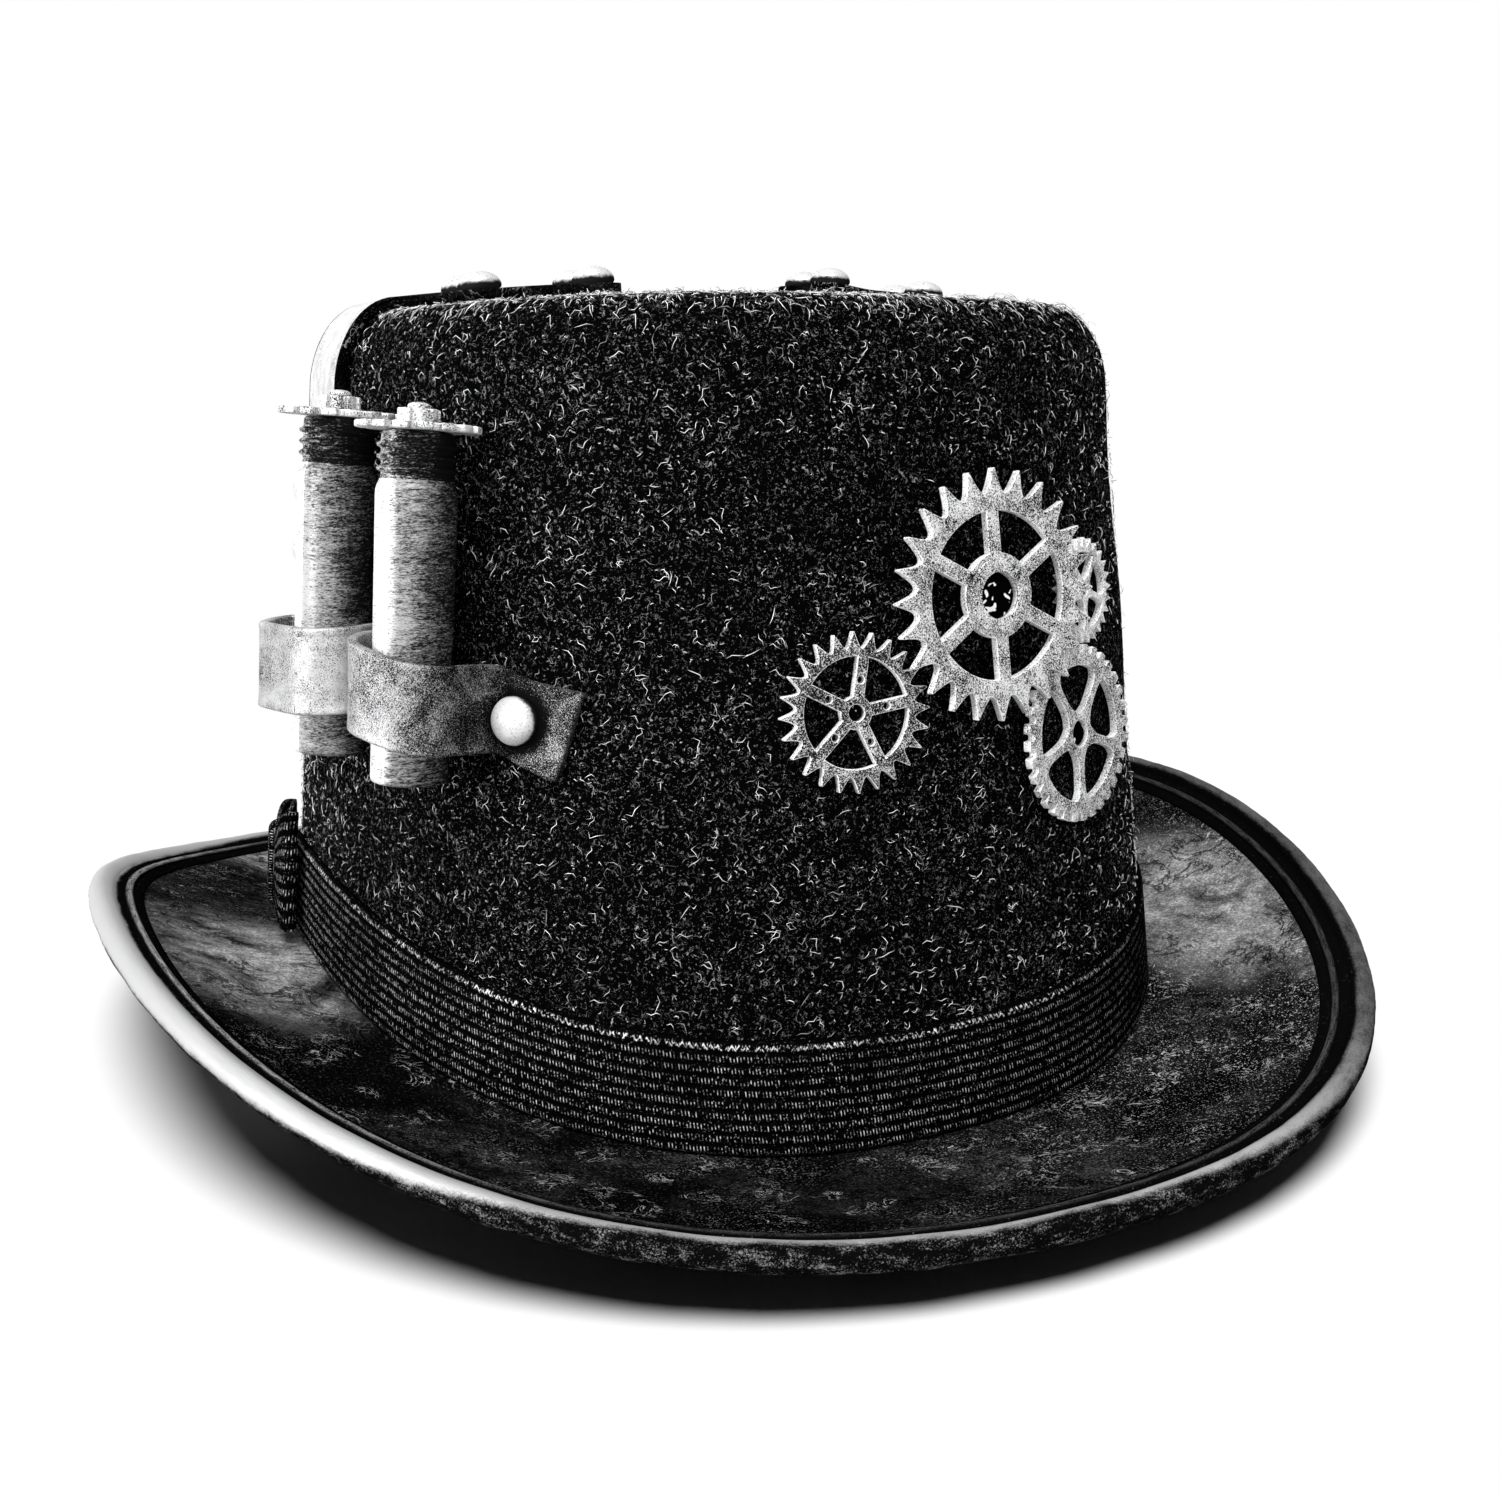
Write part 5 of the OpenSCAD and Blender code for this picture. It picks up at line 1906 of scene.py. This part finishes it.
@dataclass
class TipStraps:
    """The two straps over the tip's edge, with their rows of studs."""

    form: HatForm
    width: float = 24.0
    thickness: float = 2.4
    fore: float = 4.0
    gap: float = 44.0
    low: float = 98.0
    rows: float = 12.0
    inset: float = 5.5
    pitch: float = 24.0
    low_pitch: float = 12.0
    low_inset: float = 2.6
    third_less: float = 3.0
    strap_seat: float = 0.2
    end_corner_r: float = 5.0
    end_lift: float = 1.2
    end_lift_run: float = 14.0

    def _curl(self, side: Side, run: Array) -> Array:
        """How far the right strap's free end stands up, at a length along it."""
        lift = self.end_lift if side is Side.RIGHT else 0.0
        return lift * smooth_step((self.end_lift_run - run) / self.end_lift_run)

    def _reach(self, draw: Array) -> Array:
        """Outward reach of the crown beside the straps' middle line at a draw-in."""
        f = self.form
        share = 1 - (self.fore / (f.crown_half_length - draw)) ** f.squareness
        return (f.crown_half_width - draw) * share ** (1 / f.squareness)

    def _path(self) -> Array:
        """The crown's profile under the strap: tip, quarter-round shoulder, wall."""
        f = self.form
        t = np.linspace(math.pi / 2, 0, 15)
        z = f.crown_height - f.shoulder_drop * (1 - np.sin(t))
        draw = f.taper * (z - f.foot_mean) + f.shoulder_inset * (1 - np.cos(t))
        shoulder = np.stack([self._reach(draw), z], -1)
        reach = shoulder[0, 0]
        x = np.linspace(self.gap / 2, reach, 20)[:-1]
        k2 = (x / reach) ** 2 + (self.fore / f.crown_half_length) ** 2
        tip = np.stack([x, f.crown_height + f.tip_dome * (1 - k2)], -1)
        wall_z = np.linspace(f.crown_height - f.shoulder_drop, self.low, 16)[1:]
        wall = np.stack([self._reach(f.taper * (wall_z - f.foot_mean)), wall_z], -1)
        return np.concatenate([tip, shoulder, wall])

    def _place(self, path: Array, length: float) -> tuple[Array, Array]:
        """The place and outward normal at a length along the path."""
        run = lengths(path)
        spot = np.array([np.interp(length, run, path[:, k]) for k in range(2)])
        near = np.array([np.interp(length + 0.5, run, path[:, k]) for k in range(2)])
        back = np.array([np.interp(length - 0.5, run, path[:, k]) for k in range(2)])
        step = (near - back) / np.linalg.norm(near - back)
        return spot, np.array([-step[1], step[0]])

    def _stud_runs(self, side: Side, length: float) -> list[float]:
        """Lengths along the strap at which its stud pairs sit."""
        low = length - self.inset - self.low_inset
        third = self.inset + 2 * self.pitch - self.third_less
        runs = [self.inset, self.inset + self.pitch, third]
        runs = runs if side is Side.RIGHT else runs[:2]
        return runs + [low - self.low_pitch, low]

    def build_strap(self, side: Side, paint: bpy.types.Material, edge: bpy.types.Material) -> None:
        """Builds one strap: a rounded section along the path, its tip end rounded off."""
        path = smooth_path(self._path(), 110)
        run = lengths(path)
        out = left_of(path)
        half, corner = self.width / 2, self.end_corner_r
        near = np.clip(corner - run, 0, corner)
        narrow = corner - np.sqrt(np.maximum(corner**2 - near**2, 0))
        t = self.thickness
        section = rounded_profile(
            [
                (0, t - 0.1),
                (0.88, t - 0.1),
                (0.94, t),
                (1, t),
                (1, 0),
                (-1, 0),
                (-1, t),
                (-0.94, t),
                (-0.88, t - 0.1),
                (0, t - 0.1),
            ],
            0.35,
            3,
        )[:-1]
        across = section[:, 0][:, None] * (half - narrow)[None]
        off = self.strap_seat + section[:, 1][:, None] + self._curl(side, run)[None]
        spot = path[None] + out[None] * off[..., None]
        grid = np.stack([side.value * spot[..., 0], across - self.fore, spot[..., 1]], -1)
        word = side.name.lower()
        level = section[:, 1]
        cut_edge = np.abs(section[:, 0] + np.roll(section[:, 0], -1)) > 1.9
        cut_edge |= (level < 0.2 * t) | (np.roll(level, -1) < 0.2 * t)
        piece = Surface().grid(grid[::-1], wrap_rows=True, slot=cut_edge.astype(int)).build(
            f"studded_strap_{word}", [paint, edge]
        )
        settle(piece, Body.HAT, [f"tip_strap_{word}"])

    def build_studs(self, side: Side, material: bpy.types.Material) -> None:
        """Builds one strap's studs in their two rows."""
        path = self._path()
        length = float(np.linalg.norm(np.diff(path, axis=0), axis=1).sum())
        seat = self.strap_seat + self.thickness + 2 * self.form.seat
        stud = Studs()
        rings = stud.rings(self.thickness)
        surface = Surface()
        for run in self._stud_runs(side, length):
            spot, out = self._place(path, run)
            along = np.array([out[1], -out[0]])
            off = seat + float(self._curl(side, np.array(run)))
            for row in (-0.5, 0.5):
                flat = spot + off * out
                x = flat[0] + rings[..., 0] * along[0] + rings[..., 2] * out[0]
                z = flat[1] + rings[..., 0] * along[1] + rings[..., 2] * out[1]
                y = rings[..., 1] + row * self.rows - self.fore
                points = np.stack([side.value * x, y, z], -1)
                surface.grid(points, wrap_cols=True, caps=True, across=stud.marks())
        word = side.name.lower()
        piece = surface.build(f"strap_studs_{word}", [material])
        settle(piece, Body.HAT, [f"tip_strap_{word}_studs"])

    def build(self) -> None:
        """Builds both straps and their studs."""
        paint = SilverPaintFinish("silvered_tip_strap", cover=0.6).material()
        edge = WornLeatherFinish("strap_edge").material()
        stud = PolishedStudFinish().material()
        for side in Side:
            self.build_strap(side, paint, edge)
            self.build_studs(side, stud)


# ---------------------------------------------------------------------------------------
# Flat cut parts: gears and cog plates
# ---------------------------------------------------------------------------------------


def circle_loop(radius: float, steps: int, centre: tuple[float, float] = (0.0, 0.0)) -> Array:
    """A circle's points, counter-clockwise."""
    a = turns(steps)
    return np.stack([centre[0] + radius * np.cos(a), centre[1] + radius * np.sin(a)], -1)


def block_teeth_loop(radius: float, teeth: int, depth: float, gap_share: float) -> Array:
    """A ring of flat-topped teeth with softly rounded corners."""
    pitch = FULL_TURN / teeth
    gap = pitch * gap_share
    tip = (pitch - gap) / 2
    root = radius - depth
    shape = [
        (radius, -tip),
        (radius, 0.0),
        (radius, tip),
        (root + 0.15 * depth, tip + gap * 0.12),
        (root, tip + gap * 0.28),
        (root, tip + gap * 0.72),
        (root + 0.15 * depth, tip + gap * 0.88),
    ]
    points = [
        (r * math.cos(a + i * pitch), r * math.sin(a + i * pitch))
        for i in range(teeth)
        for r, a in shape
    ]
    closed = points + points[:2]
    return rounded_profile(closed, depth * 0.16, 2)[1:-2]


def scooped_teeth_loop(
    radius: float, root_share: float, teeth: int, land: float, power: float
) -> Array:
    """Teeth between scooped gaps: r = root + depth * |u|^power across each gap."""
    pitch = FULL_TURN / teeth
    u = np.sign(np.linspace(-1, 1, 13)) * np.abs(np.linspace(-1, 1, 13)) ** 0.8
    i = np.arange(teeth)[:, None]
    a = (i + 0.5) * pitch + u[None] * pitch * (1 - land) / 2
    r = radius * (root_share + (1 - root_share) * np.abs(u[None]) ** power) + 0 * a
    return np.stack([r * np.cos(a), r * np.sin(a)], -1).reshape(-1, 2)


def window_loops(
    spokes: int,
    inner: float,
    outer: float,
    half_width: Callable[[Array], Array],
    turn: float,
) -> list[Array]:
    """The openings between a wheel's spokes.

    Args:
        spokes: how many spokes there are.
        inner: the hub's radius.
        outer: the rim's inner radius.
        half_width: a spoke's half width at a radius.
        turn: the angle of the first spoke.

    Returns:
        One loop for each opening, whose sides follow angle = turn +- asin(w(r) / r).
    """
    r = np.linspace(inner, outer, 12)
    lean = np.arcsin(np.clip(half_width(r) / r, -1, 1))
    loops = []
    for k in range(spokes):
        start = turn + k * FULL_TURN / spokes + lean
        end = turn + (k + 1) * FULL_TURN / spokes - lean
        rim = np.linspace(start[-1], end[-1], 16)[1:-1]
        hub = np.linspace(end[0], start[0], 8)[1:-1]
        angle = np.concatenate([start, rim, end[::-1], hub])
        reach = np.concatenate([r, np.full(14, outer), r[::-1], np.full(6, inner)])
        loops.append(np.stack([reach * np.cos(angle), reach * np.sin(angle)], -1))
    return loops


def flat_part(
    name: str,
    outline: Array,
    holes: Sequence[Array],
    thickness: float,
    bevel: float,
    place: Callable[[Array], Array],
    materials: Sequence[bpy.types.Material],
) -> bpy.types.Object:
    """A flat part with bevelled rims, cut from a filled outline with holes.

    Args:
        name: the piece's name.
        outline: its outer loop, in millimetres.
        holes: its inner loops.
        thickness: its thickness, from z = 0 up.
        bevel: the width of its edge rounding.
        place: moves its points to where they belong.
        materials: its faces' material and, if there are two, its rims' material.

    Returns:
        The object, whose mesh comes from a filled 2D curve.
    """
    curve = bpy.data.curves.new(name, "CURVE")
    curve.dimensions = "2D"
    curve.fill_mode = "BOTH"
    curve.extrude = thickness / 2 - bevel
    curve.bevel_depth = bevel
    curve.bevel_resolution = 2
    curve.offset = -bevel
    for loop in [outline, *holes]:
        spline = curve.splines.new("POLY")
        spline.points.add(len(loop) - 1)
        flat = np.concatenate([loop, np.zeros((len(loop), 1)), np.ones((len(loop), 1))], 1)
        spline.points.foreach_set("co", flat.ravel())
        spline.use_cyclic_u = True
    holder = add_object(name + "_curve", curve)
    bpy.context.view_layer.update()
    made = bpy.data.meshes.new_from_object(holder)
    bpy.data.objects.remove(holder)
    bpy.data.curves.remove(curve)
    made.name = name
    count = len(made.vertices)
    points = np.empty(count * 3, np.float32)
    made.vertices.foreach_get("co", points)
    points = points.reshape(-1, 3).astype(float) + np.array([0, 0, thickness / 2])
    made.vertices.foreach_set("co", (points * MM).astype(np.float32).ravel())
    made.materials.clear()
    for material in materials:
        made.materials.append(material)
    weld(made)
    facing = np.empty(len(made.polygons) * 3, np.float32)
    made.polygons.foreach_get("normal", facing)
    rims = np.abs(facing.reshape(-1, 3)[:, 2]) < 0.97
    made.polygons.foreach_set("material_index", rims.astype(np.int32) * (len(materials) - 1))
    points = np.empty(len(made.vertices) * 3, np.float32)
    made.vertices.foreach_get("co", points)
    points = points.reshape(-1, 3).astype(float) / MM
    made.vertices.foreach_set("co", (place(points) * MM).astype(np.float32).ravel())
    made.update()
    return add_object(name, made)


def weld(mesh: bpy.types.Mesh) -> None:
    """Merges doubled points, turns faces outwards and smooths all but sharp edges."""
    work = bmesh.new()
    work.from_mesh(mesh)
    bmesh.ops.remove_doubles(work, verts=work.verts, dist=1e-6)
    bmesh.ops.recalc_face_normals(work, faces=work.faces)
    work.to_mesh(mesh)
    work.free()
    mesh.set_sharp_from_angle(angle=math.radians(40))
    mesh.update()


@dataclass(frozen=True)
class GearPlace:
    """Where a gear sits: angle, height, glue under it, tip radius, hole's share of that."""

    az: float
    z: float
    glue: float
    radius: float
    hole: float


@dataclass(frozen=True)
class FlaredSpokes:
    """A wheel's openings as shares of its radius: hub, rim, spoke's half waist and flare."""

    hub: float
    rim: float
    waist: float
    flare: float


@dataclass
class GearCluster:
    """Four flat gears glued to the front of the wall."""

    form: HatForm
    thickness: float = 1.5
    bevel: float = 0.12
    large: GearPlace = GearPlace(math.radians(279.1), 99.6, 2.7, 22.5, 0.186)
    medium: GearPlace = GearPlace(math.radians(261.7), 81.2, 0.5, 14.1, 0.107)
    lower: GearPlace = GearPlace(math.radians(292.6), 71.7, 0.5, 16.9, 0.151)
    upper: GearPlace = GearPlace(math.radians(295.3), 98.3, 0.5, 10.0, 0.099)

    def footprints(self) -> tuple[tuple[float, float, float], ...]:
        """The gears' (angle, height, reach) on the wall, where no loose hair starts."""
        places = (self.large, self.medium, self.lower, self.upper)
        return tuple((place.az, place.z, place.radius + 1.0) for place in places)

    def _cut(
        self,
        name: str,
        place: GearPlace,
        outline: Array,
        holes: list[Array],
        material: bpy.types.Material,
    ) -> None:
        """Cuts one gear and sets it on the wall."""
        hub = circle_loop(place.radius * place.hole, 32)
        piece = flat_part(
            f"cut_{name}",
            outline,
            [*holes, hub],
            self.thickness,
            self.bevel,
            lambda p: self.form.on_wall(p, place.az, place.z, place.glue),
            [material, self.rim_highlight_material],
        )
        settle(piece, Body.HAT, [name])

    def build_large(self) -> None:
        """The six-spoked gear with pointed teeth and a raised hub ring."""
        p = self.large
        r = p.radius
        material = AntiqueMetalFinish("antique_silver_large", cover=0.51).material()
        holes = window_loops(
            6, r * 0.339, r * 0.67, lambda q: 0 * q + r * 0.061, math.radians(93.0)
        )
        self._cut("gear_large", p, scooped_teeth_loop(r, 0.806, 24, 0.06, 2.0), holes, material)
        ring = rounded_profile(
            [
                (r * 0.186, self.thickness),
                (r * 0.3, self.thickness),
                (r * 0.3, self.thickness + 0.5),
                (r * 0.186, self.thickness + 0.5),
                (r * 0.186, self.thickness),
            ],
            0.2,
            2,
        )[:-1]
        collar = Surface().grid(
            self.form.on_wall(lathe(ring, 64), p.az, p.z, p.glue), wrap_rows=True, wrap_cols=True
        ).build("gear_large_collar", [material])
        settle(collar, Body.HAT)

    def build_medium(self) -> None:
        """The five-spoked gear with a hole in every spoke."""
        p = self.medium
        r = p.radius
        first = math.radians(80.0)
        holes = window_loops(5, r * 0.21, r * 0.7, lambda q: 0 * q + r * 0.075, first)
        for k in range(5):
            a = first + k * FULL_TURN / 5
            spot = (r * 0.412 * math.cos(a), r * 0.412 * math.sin(a))
            holes.append(circle_loop(r * 0.049, 16, spot))
        material = AntiqueMetalFinish("antique_silver_medium", silver=0.65, cover=0.46).material()
        self._cut("gear_medium", p, scooped_teeth_loop(r, 0.8, 24, 0.07, 1.8), holes, material)

    def _build_flared(
        self, name: str, place: GearPlace, spokes: FlaredSpokes, outline: Array, cover: float
    ) -> None:
        """Builds a gear whose five spokes flare to the fourth power towards hub and rim."""
        r = place.radius
        inner, outer = r * spokes.hub, r * spokes.rim

        def width(q: Array) -> Array:
            """Half width at a radius."""
            t = (q - inner) / (outer - inner)
            return r * (spokes.waist + spokes.flare * (2 * t - 1) ** 4)

        holes = window_loops(5, inner, outer, width, math.radians(270.0))
        material = AntiqueMetalFinish(f"antique_silver_{name}", cover=cover).material()
        self._cut(f"gear_{name}", place, outline, holes, material)

    def build_lower(self) -> None:
        """The gear with short blunt teeth and curved flared spokes."""
        r = self.lower.radius
        outline = block_teeth_loop(r, 32, r * 0.095, 0.44)
        spokes = FlaredSpokes(0.227, 0.767, 0.05, 0.075)
        self._build_flared("lower", self.lower, spokes, outline, 0.51)

    def build_upper(self) -> None:
        """The smallest gear, with thin flared spokes."""
        outline = scooped_teeth_loop(self.upper.radius, 0.82, 25, 0.1, 1.6)
        spokes = FlaredSpokes(0.2, 0.73, 0.055, 0.06)
        self._build_flared("upper", self.upper, spokes, outline, 0.54)

    def build_glue(self) -> None:
        """Builds the dabs of glue: a pad on the felt and a bead that swells up the hub."""
        surface = Surface()
        for p in (self.large, self.medium, self.lower, self.upper):
            nub = p.radius * p.hole - 0.1
            pad = p.radius * p.hole * 1.6
            top = p.glue + self.thickness
            profile = rounded_profile(
                [
                    (0.02, 0.05),
                    (pad, 0.05),
                    (pad * 0.95, p.glue - 0.05),
                    (nub, p.glue - 0.05),
                    (nub, p.glue + self.thickness * 0.45),
                    (nub * 0.55, top * 0.96),
                    (0.02, top * 0.98),
                ],
                0.5,
                4,
            )
            rings = self.form.on_wall(lathe(profile, 40), p.az, p.z, 0.0)
            surface.grid(rings, wrap_cols=True, caps=True)
        piece = surface.build("glue_dabs", [GlueFinish().material()])
        settle(piece, Body.HAT, ["gear_glue"])

    def build(self) -> None:
        """Builds the four gears and their glue."""
        # painted highlight: the gears' rims get a brighter copy of the silver
        rims = AntiqueMetalFinish("gear_rim_highlight", silver=0.9, cover=0.57)
        self.rim_highlight_material = rims.material()
        self.build_large()
        self.build_medium()
        self.build_lower()
        self.build_upper()
        self.build_glue()


# ---------------------------------------------------------------------------------------
# Studio
# ---------------------------------------------------------------------------------------


@dataclass(frozen=True)
class LampPlan:
    """A lamp: metres and where it stands, a sun's strength or watts, degrees or metres wide."""

    name: str
    kind: str
    place: tuple[float, float, float]
    strength: float
    spread: float
    lights_floor: bool = False


@dataclass
class Studio:
    """A white sweep of floor, soft lights and the camera."""

    lamps: tuple[LampPlan, ...] = (
        LampPlan("sun_above", "SUN", (-0.4, -0.6, 2.0), 3.7, 30.0, lights_floor=True),
        LampPlan("key_left", "AREA", (-1.3, -0.2, 0.45), 18.0, 0.5),
        LampPlan("fill_front", "AREA", (-0.5, -1.3, 0.5), 8.0, 0.8),
    )
    aim: tuple[float, float, float] = (0.0, 0.0, 0.07)

    eye: tuple[float, float, float] = (-0.15065, -0.33515, 0.13475)
    forward: tuple[float, float, float] = (0.4260, 0.8797, -0.2114)
    right: tuple[float, float, float] = (0.9000, -0.4359, 0.0)
    roll: float = -0.012
    lens: float = 39.02
    sensor: float = 36.0
    floor_size: float = 6.0
    shadow_reach: tuple[float, float] = (330.0, 620.0)
    fill: float = 0.022

    def build_camera(self) -> None:
        """Sets the camera at the viewing angle."""
        data = bpy.data.cameras.new("view_camera")
        data.lens, data.sensor_width, data.clip_start = self.lens, self.sensor, 0.01
        camera = add_object("view_camera", data)
        ahead = Vector(self.forward).normalized()
        right = Vector(self.right).normalized()
        up = right.cross(ahead)
        c, s = math.cos(self.roll), math.sin(self.roll)
        right, up = right * c + up * s, up * c - right * s
        matrix = camera.matrix_world.copy()
        for row in range(3):
            matrix[row][0], matrix[row][1], matrix[row][2] = right[row], up[row], -ahead[row]
            matrix[row][3] = self.eye[row]
        camera.matrix_world = matrix
        bpy.context.scene.camera = camera

    @staticmethod
    def _shown(g: Graph) -> Signal:
        """Whether a ray comes from the camera, a mirror or a clear piece."""
        path = "ShaderNodeLightPath"
        seen = g.make(path, {}, {}, "Is Camera Ray")
        seen = seen.larger(g.make(path, {}, {}, "Is Glossy Ray"))
        return seen.larger(g.make(path, {}, {}, "Is Transmission Ray"))

    def build_floor(self) -> None:
        """Builds a floor that keeps the shadow near the hat and is plain white further off."""
        mesh = bpy.data.meshes.new("studio_floor")
        h = self.floor_size
        mesh.from_pydata([(-h, -h, 0), (h, -h, 0), (h, h, 0), (-h, h, 0)], [], [(0, 1, 2, 3)])
        g = Graph("white_sweep")
        away = g.make("ShaderNodeVectorMath", {"operation": "LENGTH"}, {0: g.place}, "Value")
        white = g.step(away, self.shadow_reach[0], self.shadow_reach[1]) * self._shown(g)
        matte = g.make("ShaderNodeBsdfDiffuse", {}, {"Color": (0.9, 0.9, 0.9, 1.0)})
        plain = g.make("ShaderNodeEmission", {}, {"Color": (1.0, 1.0, 1.0, 1.0), "Strength": 1.0})
        both = g.make("ShaderNodeMixShader", {}, {0: white, 1: matte, 2: plain})
        g.make("ShaderNodeOutputMaterial", {}, {"Surface": both})
        mesh.materials.append(g.material)
        floor = add_object("studio_floor", mesh)
        self.hat_only = bpy.data.collections.new("all_but_the_floor")
        self.hat_only.objects.link(floor)
        self.hat_only.collection_objects[0].light_linking.link_state = "EXCLUDE"

    def build_world(self) -> None:
        """Fills softly all round, and shows white to the camera and to mirrors."""
        world = bpy.data.worlds.new("studio_world")
        bpy.context.scene.world = world
        world.use_nodes = True
        g = Graph("studio_world", world.node_tree)
        plain = (1.0, 1.0, 1.0, 1.0)
        fill = g.make("ShaderNodeBackground", {}, {"Color": plain, "Strength": self.fill})
        white = g.make("ShaderNodeBackground", {}, {"Color": plain, "Strength": 1.0})
        both = g.make("ShaderNodeMixShader", {}, {0: self._shown(g), 1: fill, 2: white})
        g.make("ShaderNodeOutputWorld", {}, {"Surface": both})

    def build_lights(self) -> None:
        """Sets a soft sun overhead, a key light left of the view and a low front light."""
        for plan in self.lamps:
            data = bpy.data.lights.new(plan.name, plan.kind)
            data.energy = plan.strength
            if plan.kind == "SUN":
                data.angle = math.radians(plan.spread)
            else:
                data.size = plan.spread
            lamp = add_object(plan.name, data)
            lamp.location = plan.place
            ahead = Vector(self.aim) - Vector(plan.place)
            lamp.rotation_euler = ahead.to_track_quat("-Z", "Y").to_euler()
            if not plan.lights_floor:
                lamp.light_linking.receiver_collection = self.hat_only

    def build(self) -> None:
        """Builds the studio."""
        self.build_camera()
        self.build_floor()
        self.build_world()
        self.build_lights()
        bpy.context.scene.view_settings.view_transform = "Standard"


def main() -> None:
    """Builds every sub-assembly in order, then the studio."""
    logging.basicConfig(level=logging.INFO, format="%(message)s")
    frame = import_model()
    form = HatForm.from_frame()
    gears = GearCluster(form)
    Crown(form, clear=gears.footprints()).build()
    Brim(form, frame["nodes"]["brim_wire"]).build()
    HatBand(form).build()
    Canisters(form).build()
    TipStraps(form).build()
    gears.build()
    Studio().build()
    bpy.context.view_layer.update()


if __name__ == "__main__":
    main()
